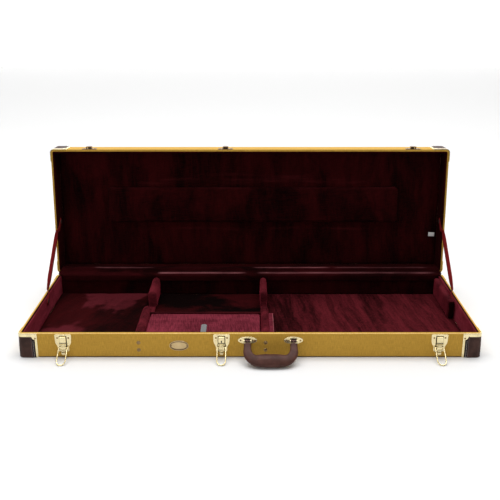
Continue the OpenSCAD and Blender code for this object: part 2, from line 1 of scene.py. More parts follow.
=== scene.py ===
import json
import math
import bpy
import numpy as np
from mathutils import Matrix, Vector


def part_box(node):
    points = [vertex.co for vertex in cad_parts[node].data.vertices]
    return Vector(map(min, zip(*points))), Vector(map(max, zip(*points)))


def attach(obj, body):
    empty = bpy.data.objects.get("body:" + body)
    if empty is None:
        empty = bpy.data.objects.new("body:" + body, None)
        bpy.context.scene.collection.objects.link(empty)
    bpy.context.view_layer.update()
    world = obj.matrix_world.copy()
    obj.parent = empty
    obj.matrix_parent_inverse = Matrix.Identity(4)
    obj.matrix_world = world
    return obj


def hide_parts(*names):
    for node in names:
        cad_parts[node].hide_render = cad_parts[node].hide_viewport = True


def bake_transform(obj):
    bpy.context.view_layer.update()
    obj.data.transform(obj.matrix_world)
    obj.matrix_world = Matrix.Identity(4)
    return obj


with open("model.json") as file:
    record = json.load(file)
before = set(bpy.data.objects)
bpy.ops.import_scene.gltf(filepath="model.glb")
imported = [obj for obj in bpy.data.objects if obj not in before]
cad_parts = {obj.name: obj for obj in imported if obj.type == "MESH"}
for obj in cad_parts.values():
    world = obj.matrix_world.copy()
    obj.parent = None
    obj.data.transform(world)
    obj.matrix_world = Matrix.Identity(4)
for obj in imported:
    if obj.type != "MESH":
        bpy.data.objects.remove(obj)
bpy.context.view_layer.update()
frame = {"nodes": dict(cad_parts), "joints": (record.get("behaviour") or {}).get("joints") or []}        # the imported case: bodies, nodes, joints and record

mm = 0.001
scene = bpy.context.scene

# Sizes that every piece shares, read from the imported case
jointOf = {j["name"]: j for j in frame["joints"]}
hinge = Vector(jointOf["lid_hinge"]["pos_m"])
openAngle = math.radians(jointOf["lid_hinge"]["range_deg"][1])
openCos, openSin = math.cos(openAngle), math.sin(openAngle)


def openLid(p):
    # a closed lid's points turned back about the hinge line by the angle it stands open
    q = np.array(p, float)
    y, z = q[..., 1] - hinge.y, q[..., 2] - hinge.z
    q[..., 1], q[..., 2] = hinge.y + y * openCos + z * openSin, hinge.z - y * openSin + z * openCos
    return q


def rowsOf(parts, field):
    # one vector for each vertex or face, as rows of x, y and z
    flat = np.empty(len(parts) * 3, np.float32)
    parts.foreach_get(field, flat)
    return flat.reshape(-1, 3)


def vertsOf(node):
    return rowsOf(frame["nodes"][node].data.vertices, "co").astype(float)


def closedBox(node):
    # lowest and highest corner of a lid node with the lid shut
    q = vertsOf(node)
    y, z = q[:, 1] - hinge.y, q[:, 2] - hinge.z
    q[:, 1], q[:, 2] = hinge.y + y * openCos - z * openSin, hinge.z + y * openSin + z * openCos
    return Vector(q.min(0)), Vector(q.max(0))


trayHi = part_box("tray_cover")[1]
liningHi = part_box("tray_lining")[1]
floorLo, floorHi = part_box("floor_pad")
lidLo, lidHi = closedBox("lid_cover")
lidLiningLo, lidLiningHi = closedBox("lid_lining")
lidPadLo, lidPadHi = closedBox("lid_pad")
halfX, halfY, rimZ = trayHi.x, trayHi.y, trayHi.z
inX, inY, floorZ = floorHi.x, floorHi.y, floorHi.z
cornerR = 9 * mm


def asDrawn(q):
    return q


def upturned(height):
    # a shape drawn from z = 0 upwards, turned over below a height of the shut lid and opened with it
    return lambda q: openLid(q * np.array([1, 1, -1]) + np.array([0, 0, height]))


def runLengths(line, closed=False):
    # distance along a line of points, starting from 0
    steps = np.roll(line, -1, 0) - line if closed else np.diff(line, axis=0)
    return np.concatenate([[0], np.cumsum(np.linalg.norm(steps, axis=1))])


def headings(line):
    # unit directions along an open line of points
    t = np.gradient(line, axis=0)
    return t / np.linalg.norm(t, axis=1, keepdims=True)


def spaced(line, lengths, wanted):
    # a flat line's points at the wanted distances along it
    return np.stack([np.interp(wanted, lengths, line[:, 0]), np.interp(wanted, lengths, line[:, 1])], 1)


def eased(line, times):
    # each inner point averaged with its neighbours, counted twice itself
    for _ in range(times):
        line[1:-1] = (line[:-2] + 2 * line[1:-1] + line[2:]) / 4
    return line


def rimOf(ids):
    # the point numbers round a grid's border
    return np.concatenate([ids[:-1, 0], ids[-1, :-1], ids[:0:-1, -1], ids[0, :0:-1]])


def carried(outline, rows):
    # an outline with unit normals carried through rows of (outwards, up)
    p = outline[0][:, None] + outline[1][:, None] * rows[None, :, :1]
    return np.concatenate([p, np.broadcast_to(rows[None, :, 1:], p.shape[:2] + (1,))], 2)


# Shapes
class Skin:
    # grids and flat caps gathered into one mesh, with a map in metres for the cloth patterns
    def __init__(self):
        self.points, self.faces, self.maps, self.marks, self.count = [], [], [], [], 0

    def grid(self, p, closedU=False, closedV=False, uv=None, flip=False, mark=0):
        # quads between neighbouring points of a two-parameter surface, wrapped round where it closes
        nu, nv = p.shape[:2]
        mu, mv = (nu if closedU else nu - 1), (nv if closedV else nv - 1)
        i, j = (a.ravel() for a in np.meshgrid(np.arange(mu), np.arange(mv), indexing="ij"))
        steps = [(i, j), (i + 1, j), (i + 1, j + 1), (i, j + 1)]
        rows = np.stack([(a % nu) * nv + b % nv for a, b in steps], 1) + self.count
        if uv is None:
            uv = lengthMap(p, closedU, closedV)
        maps = uv.reshape(-1, 2)[np.stack([a * (mv + 1) + b for a, b in steps], 1)]
        self.add(p.reshape(-1, 3), rows, maps, flip, mark)
        return np.arange(nu * nv).reshape(nu, nv) + self.count - nu * nv

    def add(self, points, rows, maps, flip=False, mark=0):
        if flip:
            rows, maps = rows[:, ::-1], maps[:, ::-1]
        self.points.append(points)
        self.count += len(points)
        self.faces.append(rows)
        self.maps.append(maps)
        self.marks.append(np.broadcast_to(mark, len(rows)) if np.size(mark) in (1, len(rows))
                          else np.repeat(mark, len(rows) // np.size(mark)))

    def cap(self, ring, flip=False, mark=0):
        # one flat face over a ring of points, mapped by its two widest directions
        ring = np.asarray(ring)[::-1] if flip else np.asarray(ring)
        at = np.concatenate(self.points)[ring]
        keep = np.sort(np.argsort(np.ptp(at, 0))[1:])
        self.faces.append(ring[None])
        self.maps.append(at[None][:, :, keep])
        self.marks.append(np.full(1, mark))

    def joinRims(self, upper, lower, mapOf, flip=False):
        # quads between the borders of two matching grids
        rim, low = rimOf(upper), rimOf(lower)
        rows = np.stack([low, np.roll(low, -1), np.roll(rim, -1), rim], 1)
        maps = mapOf(np.concatenate(self.points)[rows])
        if flip:
            rows, maps = rows[:, ::-1], maps[:, ::-1]
        self.faces.append(rows)
        self.maps.append(maps)
        self.marks.append(np.zeros(len(rows), int))

    def make(self, name, *finishes, smooth=True):
        mesh = bpy.data.meshes.new(name)
        points = np.concatenate(self.points)
        counts = np.concatenate([np.full(len(f), f.shape[1]) for f in self.faces])
        loops = np.concatenate([f.ravel() for f in self.faces])
        mesh.vertices.add(len(points))
        mesh.vertices.foreach_set("co", points.astype(np.float32).ravel())
        mesh.loops.add(len(loops))
        mesh.loops.foreach_set("vertex_index", loops.astype(np.int32))
        mesh.polygons.add(len(counts))
        starts = np.concatenate([[0], np.cumsum(counts)[:-1]])
        mesh.polygons.foreach_set("loop_start", starts.astype(np.int32))
        mesh.polygons.foreach_set("material_index", np.concatenate(self.marks).astype(np.int32))
        mesh.polygons.foreach_set("use_smooth", np.full(len(counts), smooth))
        layer = mesh.uv_layers.new(name="cloth")
        maps = np.concatenate([m.reshape(-1, 2) for m in self.maps])
        layer.data.foreach_set("uv", maps.astype(np.float32).ravel())
        mesh.update(calc_edges=True)
        mesh.validate()
        piece = bpy.data.objects.new(name, mesh)
        scene.collection.objects.link(piece)
        for finish in finishes:
            mesh.materials.append(finish)
        return piece


def lengthMap(p, closedU, closedV):
    # arc lengths along the two middle lines of a grid
    q = np.concatenate([p, p[:1]]) if closedU else p
    q = np.concatenate([q, q[:, :1]], 1) if closedV else q
    alongU = np.linalg.norm(np.diff(q, axis=0), axis=2).mean(1)
    alongV = np.linalg.norm(np.diff(q, axis=1), axis=2).mean(0)
    u = np.concatenate([[0], np.cumsum(alongU)])
    v = np.concatenate([[0], np.cumsum(alongV)])
    return np.stack(np.broadcast_arrays(u[:, None], v[None]), 2)


def arc(cx, cy, r, a0, a1, n):
    # points of a circle's arc from angle a0 to a1 in degrees
    a = np.radians(np.linspace(a0, a1, n))
    return np.stack([cx + r * np.cos(a), cy + r * np.sin(a)], 1)


def roundedOutline(corners, n=7):
    # a closed line through corners (x, y, radius): each corner is an arc that touches both its sides
    c = np.array(corners, float)
    out = []
    for k in range(len(c)):
        p, a, b = c[k, :2], c[k - 1, :2], c[(k + 1) % len(c), :2]
        da, db = (a - p) / np.linalg.norm(a - p), (b - p) / np.linalg.norm(b - p)
        half = math.acos(np.clip(da @ db, -1, 1)) / 2
        r = c[k, 2]
        centre = p + (da + db) / np.linalg.norm(da + db) * r / math.sin(half)
        t0, t1 = p + da * r / math.tan(half), p + db * r / math.tan(half)
        v0, v1 = t0 - centre, t1 - centre
        turn = math.atan2(v0[0] * v1[1] - v0[1] * v1[0], v0 @ v1)
        w = np.linspace(0, turn, n)[:, None]
        out.append(centre + v0 * np.cos(w) + np.stack([-v0[1], v0[0]]) * np.sin(w))
    return np.concatenate(out)


def rectOutline(w, h, r, n=7, cx=0.0, cy=0.0):
    x, y = w / 2, h / 2
    return roundedOutline([(cx - x, cy - y, r), (cx + x, cy - y, r), (cx + x, cy + y, r),
                           (cx - x, cy + y, r)], n)


def ovalOutline(w, h, power=2.3, n=64, cx=0.0, cy=0.0):
    # superellipse: x and y are signed powers of cosine and sine
    a = np.linspace(0, 2 * np.pi, n, endpoint=False)
    c, s = np.cos(a), np.sin(a)
    return np.stack([cx + w / 2 * np.sign(c) * abs(c) ** (2 / power),
                     cy + h / 2 * np.sign(s) * abs(s) ** (2 / power)], 1)


def dense(outline, step):
    # the closed outline with extra points so that no side is longer than step
    nxt = np.roll(outline, -1, 0)
    gap = np.linalg.norm(nxt - outline, axis=1)
    out = [outline[k] + (nxt[k] - outline[k]) * np.arange(m)[:, None] / m
           for k, m in enumerate(np.maximum(1, np.ceil(gap / step)).astype(int))]
    return np.concatenate(out)


def outward(outline):
    # unit normals of a counterclockwise outline, from the line between each point's neighbours
    t = np.roll(outline, -1, 0) - np.roll(outline, 1, 0)
    n = np.stack([t[:, 1], -t[:, 0]], 1)
    return n / np.maximum(np.linalg.norm(n, axis=1, keepdims=True), 1e-12)


def pressed(skin, outline, z0, z1, edge, place, lower=0.0, mark=0, crown=0.0):
    # a plate: the outline carried up from z0 to z1, its edges turned in on quarter circles
    a = np.radians(np.linspace(0, 90, 5))
    rows = [(-edge * (1 - np.cos(t)), z1 - edge + edge * np.sin(t)) for t in a]
    if lower:
        rows = [(-lower * (1 - np.cos(t)), z0 + lower - lower * np.sin(t)) for t in a[::-1]] + rows
    else:
        rows = [(0.0, z0)] + rows
    n = outward(outline)
    p = np.stack([np.concatenate([outline + n * d, np.full((len(outline), 1), z)], 1)
                  for d, z in rows], 1)
    ids = skin.grid(place(p), closedU=True, mark=mark)
    skin.cap(ids[:, 0], flip=True, mark=mark)
    if crown:
        # a low dome in three rings and a middle point
        mid = outline.mean(0)
        top = p[:, -1, :2]
        rings = [np.concatenate([mid + (top - mid) * s, np.full((len(top), 1), z1 + crown * (1 - s * s))], 1)
                 for s in (1.0, 0.82, 0.6, 0.35, 0.12)]
        more = skin.grid(place(np.stack(rings, 1)), closedU=True, mark=mark)
        skin.cap(more[:, -1], mark=mark)
    else:
        skin.cap(ids[:, -1], mark=mark)


def frontPlace(x, z):
    # across, up and out from the tray's front, to the case's own axes
    return lambda p: np.stack([p[..., 0] + x, -halfY - p[..., 2], p[..., 1] + z], -1)


def alongXPlace(x, y, z):
    # (a, b, c) drawn in the YZ plane and carried along X
    return lambda p: np.stack([p[..., 2] + x, p[..., 0] + y, p[..., 1] + z], -1)


def alongYPlace(x, y, z):
    # (a, b, c) drawn in the XZ plane and carried along Y
    return lambda p: np.stack([p[..., 0] + x, y - p[..., 2], p[..., 1] + z], -1)


def flatPlace(x, y, z):
    return lambda p: p + np.array([x, y, z])


def inOpenLid(place):
    return lambda p: openLid(place(p))


def tube(skin, path, radius, sides, across, mark=0):
    # a round section carried along a path, its side direction kept level with `across`
    p = np.asarray(path, float)
    t = headings(p)
    side = np.broadcast_to(np.array(across, float), t.shape)
    side = side - t * (side * t).sum(1, keepdims=True)
    side = side / np.linalg.norm(side, axis=1, keepdims=True)
    other = np.cross(t, side)
    a = np.linspace(0, 2 * np.pi, sides, endpoint=False)
    ring = p[:, None] + radius * (np.cos(a)[None, :, None] * side[:, None]
                                  + np.sin(a)[None, :, None] * other[:, None])
    ids = skin.grid(ring, closedV=True, mark=mark)
    skin.cap(ids[0], mark=mark)
    skin.cap(ids[-1], flip=True, mark=mark)


def softWaves(x, y, length, seed, waves=7, slant=None):
    # a smooth unevenness from -1 to 1: sine waves of about one length in seeded directions
    rng = np.random.RandomState(seed)
    total = np.zeros(np.broadcast(x, y).shape)
    for _ in range(waves):
        a = rng.uniform(0, 2 * np.pi) if slant is None else slant + rng.uniform(-0.35, 0.35)
        k = 2 * np.pi / (length * rng.uniform(0.7, 1.6))
        total = total + np.sin(k * (x * math.cos(a) + y * math.sin(a)) + rng.uniform(0, 6.28))
    return total / waves * 1.8


def smoothStep(t):
    t = np.clip(t, 0, 1)
    return t * t * (3 - 2 * t)


def finishShade(piece, angle=35):
    # smooth shading with the sharp edges kept
    piece.data.shade_smooth()
    modifier = piece.modifiers.new("edges", "EDGE_SPLIT")
    modifier.split_angle = math.radians(angle)


def thicken(piece, amount):
    # a surface given its cloth's thickness, grown inwards
    thick = piece.modifiers.new("cloth", "SOLIDIFY")
    thick.thickness, thick.offset = amount, -1.0


def applyAll(piece):
    # the piece's modifiers worked into its own mesh
    bpy.context.view_layer.update()
    dg = bpy.context.evaluated_depsgraph_get()
    mesh = bpy.data.meshes.new_from_object(piece.evaluated_get(dg), depsgraph=dg)
    piece.modifiers.clear()
    old = piece.data
    piece.data = mesh
    mesh.name = piece.name
    if old.users == 0:
        bpy.data.meshes.remove(old)


def paintFaces(piece, which):
    # the finish of each face, by its number among the piece's finishes
    piece.data.polygons.foreach_set("material_index", which.astype(np.int32))


def addLitCrest(piece, share):
    # how strongly each point is painted with a highlight where its pile faces the light, from 0 to 1
    share = share.ravel().clip(0, 1).astype(np.float32)
    piece.data.attributes.new("crest", "FLOAT", "POINT").data.foreach_set("value", share)


def settle(piece, body, slotName, *nodes):
    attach(piece, body)
    if nodes:
        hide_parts(*nodes)


# Finishes
def plug(tree, node, values):
    # a socket is linked in, and a plain value becomes the input's own
    for key, value in values:
        if isinstance(value, bpy.types.NodeSocket):
            tree.links.new(value, node.inputs[key])
        else:
            node.inputs[key].default_value = value


def addNode(tree, kind, inputs=None, **settings):
    node = tree.nodes.new(kind)
    for key, value in settings.items():
        setattr(node, key, value)
    plug(tree, node, (inputs or {}).items())
    return node


def calc(tree, operation, a, b=None, c=None, clamp=False):
    values = {k: v for k, v in enumerate((a, b, c)) if v is not None}
    return addNode(tree, "ShaderNodeMath", values, operation=operation, use_clamp=clamp).outputs[0]


def mixColor(tree, factor, a, b, blend="MIX"):
    node = addNode(tree, "ShaderNodeMix", data_type="RGBA", blend_type=blend)
    plug(tree, node, ((0, factor), (6, a), (7, b)))
    return node.outputs[2]


def rangeOf(tree, value, low, high, outLow=0.0, outHigh=1.0):
    node = addNode(tree, "ShaderNodeMapRange", {0: value, 1: low, 2: high, 3: outLow, 4: outHigh})
    return node.outputs[0]


def makeGroup(name, inputs, outputs):
    tree = bpy.data.node_groups.new(name, "ShaderNodeTree")
    for label, kind, value in inputs:
        socket = tree.interface.new_socket(label, in_out="INPUT", socket_type=kind)
        if value is not None:
            socket.default_value = value
    for label, kind in outputs:
        tree.interface.new_socket(label, in_out="OUTPUT", socket_type=kind)
    start, end = tree.nodes.new("NodeGroupInput"), tree.nodes.new("NodeGroupOutput")
    return tree, start.outputs, end.inputs


def useGroup(tree, group, inputs):
    node = tree.nodes.new("ShaderNodeGroup")
    node.node_tree = group
    plug(tree, node, inputs.items())
    return node.outputs


def stretched(tree, vector, sx, sy, sz=1.0, turn=0.0):
    return addNode(tree, "ShaderNodeMapping", {"Vector": vector, "Scale": (sx, sy, sz),
                                               "Rotation": (0, 0, turn)}).outputs[0]


def noise(tree, vector, scale, detail=3.0, rough=0.55):
    return addNode(tree, "ShaderNodeTexNoise", {"Vector": vector, "Scale": scale, "Detail": detail,
                                                "Roughness": rough}).outputs["Fac"]


vectorKind, floatKind = "NodeSocketVector", "NodeSocketFloat"

# weave: rounded threads on two sets of lines, the upper set chosen by a twill step; slubs lengthen along each
weaveGroup, gi, go = makeGroup("clothWeave", [("Vector", vectorKind, None), ("Pitch", floatKind, 0.001),
                                              ("Slub", floatKind, 1.0)],
                               [("Height", floatKind), ("Tone", floatKind), ("Over", floatKind)])
t = weaveGroup
xy = addNode(t, "ShaderNodeSeparateXYZ", {0: gi["Vector"]}).outputs
u, v = calc(t, "DIVIDE", xy[0], gi["Pitch"]), calc(t, "DIVIDE", xy[1], gi["Pitch"])
bumpU = calc(t, "ABSOLUTE", calc(t, "SINE", calc(t, "MULTIPLY", u, math.pi)))
bumpV = calc(t, "ABSOLUTE", calc(t, "SINE", calc(t, "MULTIPLY", v, math.pi)))
steps = calc(t, "ADD", calc(t, "FLOOR", u), calc(t, "FLOOR", v))
over = calc(t, "GREATER_THAN", calc(t, "FLOORED_MODULO", steps, 3.0), 1.5)
height = calc(t, "ADD", calc(t, "MULTIPLY", over, bumpV),
              calc(t, "MULTIPLY", calc(t, "SUBTRACT", 1.0, over), bumpU))
slubX = noise(t, stretched(t, gi["Vector"], 760, 75), 1.0, 3.0)
slubY = noise(t, stretched(t, gi["Vector"], 60, 700), 1.0, 3.0)
tone = calc(t, "ADD", calc(t, "MULTIPLY", slubX, 0.7), calc(t, "MULTIPLY", slubY, 0.3))
tone = calc(t, "ADD", 0.5, calc(t, "MULTIPLY", calc(t, "SUBTRACT", tone, 0.5), gi["Slub"]))
t.links.new(height, go["Height"])
t.links.new(tone, go["Tone"])
t.links.new(over, go["Over"])

# pile: broad patches with torn edges, brushed strokes that are noise drawn out one way, and fine tufts
pileGroup, gi, go = makeGroup("brushedPile", [("Vector", vectorKind, None), ("Turn", vectorKind, (0, 0, 0)),
                                              ("Patch Size", floatKind, 5.0), ("Patch Share", floatKind, 0.5),
                                              ("Stroke Share", floatKind, 0.35),
                                              ("Narrow", vectorKind, (1, 1, 1))],
                              [("Stroke", floatKind), ("Tuft", floatKind), ("Relief", floatKind)])
t = pileGroup
laid = addNode(t, "ShaderNodeMapping", {"Vector": gi["Vector"], "Rotation": gi["Turn"],
                                        "Scale": gi["Narrow"]}).outputs[0]
warp = addNode(t, "ShaderNodeTexNoise", {"Vector": laid, "Scale": 7.0, "Detail": 3.0}).outputs["Color"]
bent = addNode(t, "ShaderNodeMix", {0: 0.05, 4: laid, 5: warp}, data_type="VECTOR").outputs[1]
broad = noise(t, stretched(t, bent, 34, 5.5, 18), 1.0, 3.0, 0.55)
fine = noise(t, stretched(t, bent, 210, 30, 90), 1.0, 3.0, 0.6)
cross = noise(t, stretched(t, laid, 40, 420, 200), 1.0, 2.0, 0.6)
patch = addNode(t, "ShaderNodeTexNoise", {"Vector": stretched(t, bent, 1.3, 0.75), "Scale": gi["Patch Size"],
                                          "Detail": 5.0, "Roughness": 0.55, "Distortion": 0.6}).outputs["Fac"]
patch = rangeOf(t, patch, 0.43, 0.57)
stroke = calc(t, "ADD", calc(t, "MULTIPLY", broad, 0.62), calc(t, "MULTIPLY", fine, 0.38))
stroke = rangeOf(t, stroke, 0.38, 0.62)
rest = calc(t, "SUBTRACT", 1.0, calc(t, "ADD", gi["Patch Share"], gi["Stroke Share"]))
tone = calc(t, "ADD", calc(t, "MULTIPLY", patch, gi["Patch Share"]),
            calc(t, "MULTIPLY", stroke, gi["Stroke Share"]))
tone = calc(t, "ADD", tone, calc(t, "MULTIPLY", rangeOf(t, cross, 0.35, 0.65), rest))
tuft = noise(t, laid, 900.0, 2.0, 0.6)
t.links.new(tone, go["Stroke"])
t.links.new(tuft, go["Tuft"])
t.links.new(stroke, go["Relief"])

# grain: leather pebbles are the distance to cell borders, broken by noise, with broad dull patches
grainGroup, gi, go = makeGroup("leatherGrain", [("Vector", vectorKind, None), ("Scale", floatKind, 900.0)],
                               [("Height", floatKind), ("Patch", floatKind)])
t = grainGroup
cell = addNode(t, "ShaderNodeTexVoronoi", {"Vector": gi["Vector"], "Scale": gi["Scale"]},
               feature="DISTANCE_TO_EDGE").outputs["Distance"]
pebble = rangeOf(t, cell, 0.0, 0.22)
fine = noise(t, gi["Vector"], 1800.0, 2.0)
t.links.new(calc(t, "ADD", pebble, calc(t, "MULTIPLY", fine, 0.4)), go["Height"])
t.links.new(noise(t, gi["Vector"], 55.0, 4.0), go["Patch"])

# metal: hairline scratches are noise drawn out one way, smudges are broad noise
metalGroup, gi, go = makeGroup("metalWear", [("Vector", vectorKind, None)],
                               [("Scratch", floatKind), ("Smudge", floatKind)])
t = metalGroup
t.links.new(noise(t, stretched(t, gi["Vector"], 2600, 180, 180), 1.0, 2.0), go["Scratch"])
t.links.new(noise(t, gi["Vector"], 90.0, 4.0), go["Smudge"])


def newFinish(name, **values):
    finish = bpy.data.materials.new(name)
    finish.use_nodes = True
    tree = finish.node_tree
    surface = tree.nodes["Principled BSDF"]
    for key, value in values.items():
        surface.inputs[key.replace("_", " ")].default_value = value
    return finish, tree, surface


def bumpInto(tree, surface, height, distance, strength=1.0, under=None):
    inputs = {"Height": height, "Distance": distance, "Strength": strength}
    if under is not None:
        inputs["Normal"] = under
    node = addNode(tree, "ShaderNodeBump", inputs)
    tree.links.new(node.outputs[0], surface.inputs["Normal"])
    return node.outputs[0]


def objectVector(tree):
    return tree.nodes.new("ShaderNodeTexCoord").outputs["Object"]


def clothVector(tree):
    return addNode(tree, "ShaderNodeUVMap", uv_map="cloth").outputs[0]


# the pale rim colour is a painted highlight; the near-black lower-edge colour and the shaded one are painted
# shade
tweed = dict(light=(0.625, 0.362, 0.056, 1), dark=(0.405, 0.221, 0.030, 1), over=(0.66, 0.41, 0.078, 1),
             rubbed=(0.80, 0.60, 0.30, 1), soiled=(0.060, 0.030, 0.007, 1),
             worn=(0.47, 0.262, 0.034, 1), shaded=(0.25, 0.14, 0.022, 1), pitch=0.95 * mm)


def makeTweed(name, light, dark):
    finish, tree, surface = newFinish(name, Roughness=0.82, Sheen_Weight=0.05,
                                      Sheen_Roughness=0.5, Sheen_Tint=(0.95, 0.80, 0.45, 1),
                                      Specular_IOR_Level=0.12)
    vector = clothVector(tree)
    weave = useGroup(tree, weaveGroup, {"Vector": vector, "Pitch": tweed["pitch"], "Slub": 1.0})
    broad = noise(tree, vector, 9.0, 3.0)
    body = mixColor(tree, rangeOf(tree, weave["Tone"], 0.34, 0.66), dark, light)
    body = mixColor(tree, calc(tree, "MULTIPLY", weave["Over"], 0.22), body, tweed["over"])
    body = mixColor(tree, rangeOf(tree, broad, 0.35, 0.65, 0.0, 0.3), body, tweed["worn"])
    tree.links.new(body, surface.inputs["Base Color"])
    bumpInto(tree, surface, weave["Height"], 0.12 * mm, 0.55)
    return finish


plushSheen = (0.70, 0.055, 0.10, 1)


def makePlush(name, turn, deep, mid, sheen=0.35, patchSize=5.0, patchShare=0.45, strokeShare=0.35, dark=0.05,
              tilt=None, crest=None, narrow=1.0):
    # colour runs from a deep tone, pile laid away, to a lit one, pile laid towards the viewer
    finish, tree, surface = newFinish(name, Roughness=0.95, Sheen_Weight=sheen, Sheen_Roughness=0.34,
                                      Sheen_Tint=plushSheen, Specular_IOR_Level=0.04)
    vector = clothVector(tree) if tilt is None else objectVector(tree)
    laidTurn = (math.radians(tilt or 0), 0, math.radians(turn))
    pile = useGroup(tree, pileGroup, {"Vector": vector, "Turn": laidTurn,
                                      "Patch Size": patchSize, "Patch Share": patchShare,
                                      "Stroke Share": strokeShare, "Narrow": (narrow, 1, 1)})
    tone = calc(tree, "ADD", calc(tree, "MULTIPLY", pile["Stroke"], 0.9),
                calc(tree, "MULTIPLY", calc(tree, "SUBTRACT", pile["Tuft"], 0.5), 0.5))
    body = mixColor(tree, rangeOf(tree, tone, dark, 0.85), deep, mid)
    if crest:
        # painted highlight where the pile faces the light, broken up by the strokes
        share = addNode(tree, "ShaderNodeAttribute", attribute_name="crest").outputs["Fac"]
        share = calc(tree, "MULTIPLY", share, rangeOf(tree, tone, 0.1, 0.6, 0.4, 1.0), clamp=True)
        body = mixColor(tree, share, body, crest)
    tree.links.new(body, surface.inputs["Base Color"])
    under = bumpInto(tree, surface, pile["Relief"], 1.2 * mm, 0.6)
    bumpInto(tree, surface, pile["Tuft"], 0.6 * mm, 0.6, under)
    return finish


def makeLeather(name, base, patch, rough, scale=900.0, coat=0.0, depth=0.12, spec=0.4):
    finish, tree, surface = newFinish(name, Roughness=rough, Specular_IOR_Level=spec,
                                      Coat_Weight=coat, Coat_Roughness=0.25)
    vector = objectVector(tree)
    grain = useGroup(tree, grainGroup, {"Vector": vector, "Scale": scale})
    body = mixColor(tree, rangeOf(tree, grain["Patch"], 0.35, 0.65, 0.0, 1.0), base, patch)
    body = mixColor(tree, rangeOf(tree, grain["Height"], 0.0, 0.5, 0.5, 0.0), body, (0.008, 0.005, 0.004, 1))
    tree.links.new(body, surface.inputs["Base Color"])
    tree.links.new(rangeOf(tree, grain["Patch"], 0.3, 0.7, rough - 0.07, rough + 0.09),
                   surface.inputs["Roughness"])
    bumpInto(tree, surface, grain["Height"], depth * mm, 0.5)
    return finish


def makeMetal(name, base, dull, rough):
    finish, tree, surface = newFinish(name, Metallic=1.0, Roughness=rough)
    wear = useGroup(tree, metalGroup, {"Vector": objectVector(tree)})
    body = mixColor(tree, rangeOf(tree, wear["Smudge"], 0.45, 0.75, 0.0, 0.55), base, dull)
    tree.links.new(body, surface.inputs["Base Color"])
    soft = calc(tree, "ADD", rangeOf(tree, wear["Smudge"], 0.3, 0.7, rough - 0.05, rough + 0.09),
                rangeOf(tree, wear["Scratch"], 0.5, 0.8, 0.0, 0.08))
    tree.links.new(soft, surface.inputs["Roughness"])
    bumpInto(tree, surface, wear["Scratch"], 0.015 * mm, 0.3)
    return finish


def makeWebbing(name, light, dark, pitch, rough=0.7, sheen=0.2):
    finish, tree, surface = newFinish(name, Roughness=rough, Sheen_Weight=sheen, Specular_IOR_Level=0.3)
    weave = useGroup(tree, weaveGroup, {"Vector": clothVector(tree), "Pitch": pitch, "Slub": 0.8})
    tone = calc(tree, "ADD", calc(tree, "MULTIPLY", weave["Height"], 0.6),
                calc(tree, "MULTIPLY", weave["Tone"], 0.4))
    tree.links.new(mixColor(tree, tone, dark, light), surface.inputs["Base Color"])
    bumpInto(tree, surface, weave["Height"], 0.15 * mm, 0.6)
    return finish


def makePlywood():
    finish, tree, surface = newFinish("plywood", Roughness=0.6)
    layers = stretched(tree, objectVector(tree), 4, 60, 260)
    rings = addNode(tree, "ShaderNodeTexWave", {"Vector": layers, "Scale": 1.0, "Distortion": 5.0,
                                                "Detail": 3.0}).outputs["Fac"]
    tree.links.new(mixColor(tree, rings, (0.52, 0.34, 0.18, 1), (0.66, 0.48, 0.29, 1)),
                   surface.inputs["Base Color"])
    bumpInto(tree, surface, rings, 0.1 * mm, 0.3)
    return finish


tweedCloth = makeTweed("tweedCloth", tweed["light"], tweed["dark"])
# painted highlight on the tray rim's outer turn
tweedRubbed = makeTweed("tweedRubbed", tweed["rubbed"], tweed["light"])
# painted shade on the tray's lower turn, where it rounds under into shadow
tweedSoiled = makeTweed("tweedSoiled", tweed["soiled"], tweed["soiled"])
# painted shade on the lid's rim
tweedShaded = makeTweed("tweedShaded", tweed["worn"], tweed["shaded"])
plushWall = makePlush("plushWall", 0, (0.003, 0.0002, 0.0002, 1), (0.030, 0.0016, 0.0022, 1), 0.06, 4.0, 0.4)
plushSide = makePlush("plushSide", 84, (0.060, 0.0055, 0.0085, 1), (0.270, 0.0330, 0.0520, 1), 0.3, 11.0,
                      0.35)
plushHead = makePlush("plushHead", 24, (0.0040, 0.0002, 0.0002, 1), (0.030, 0.0016, 0.0022, 1), 0.02, 5.0,
                      0.5, 0.3, 0.1, tilt=0, crest=(0.072, 0.0080, 0.0120, 1))
plushLeft = makePlush("plushFloorLeft", 24, (0.0040, 0.0002, 0.0002, 1), (0.030, 0.0016, 0.0022, 1), 0.02,
                      5.0, 0.5, 0.3, 0.1)
# painted shade: the middle bin's floor, deep between the box and the back
plushMiddleShade = makePlush("plushFloorMiddle", 80, (0.002, 0.0001, 0.0001, 1), (0.030, 0.0018, 0.0026, 1), 0.02,
                        6.0, 0.7, 0.2, 0.3)
plushRight = makePlush("plushFloorRight", -14, (0.008, 0.0003, 0.0005, 1), (0.093, 0.0085, 0.0130, 1), 0.12,
                       3.0, 0.25, 0.5, 0.16, narrow=1.9)
plushLid = makePlush("plushLid", 4, (0.0040, 0.0002, 0.0002, 1), (0.0340, 0.0020, 0.0025, 1), 0.04, 6.0, 0.35,
                     0.4, 0.1, crest=(0.080, 0.010, 0.012, 1), narrow=1.5)
plushLidPad = makePlush("plushLidPad", 4, (0.0040, 0.0002, 0.0002, 1), (0.0340, 0.0021, 0.0026, 1), 0.04, 7.0,
                        0.4, 0.35, 0.1, tilt=90, crest=(0.070, 0.009, 0.011, 1))
plushLidWall = makePlush("plushLidWall", 0, (0.005, 0.0002, 0.0002, 1), (0.024, 0.0012, 0.0015, 1), 0.03)
plushBox = makePlush("plushBox", 84, (0.050, 0.0055, 0.0100, 1), (0.185, 0.0240, 0.0400, 1), 0.25, 14.0,
                     0.3, 0.2)
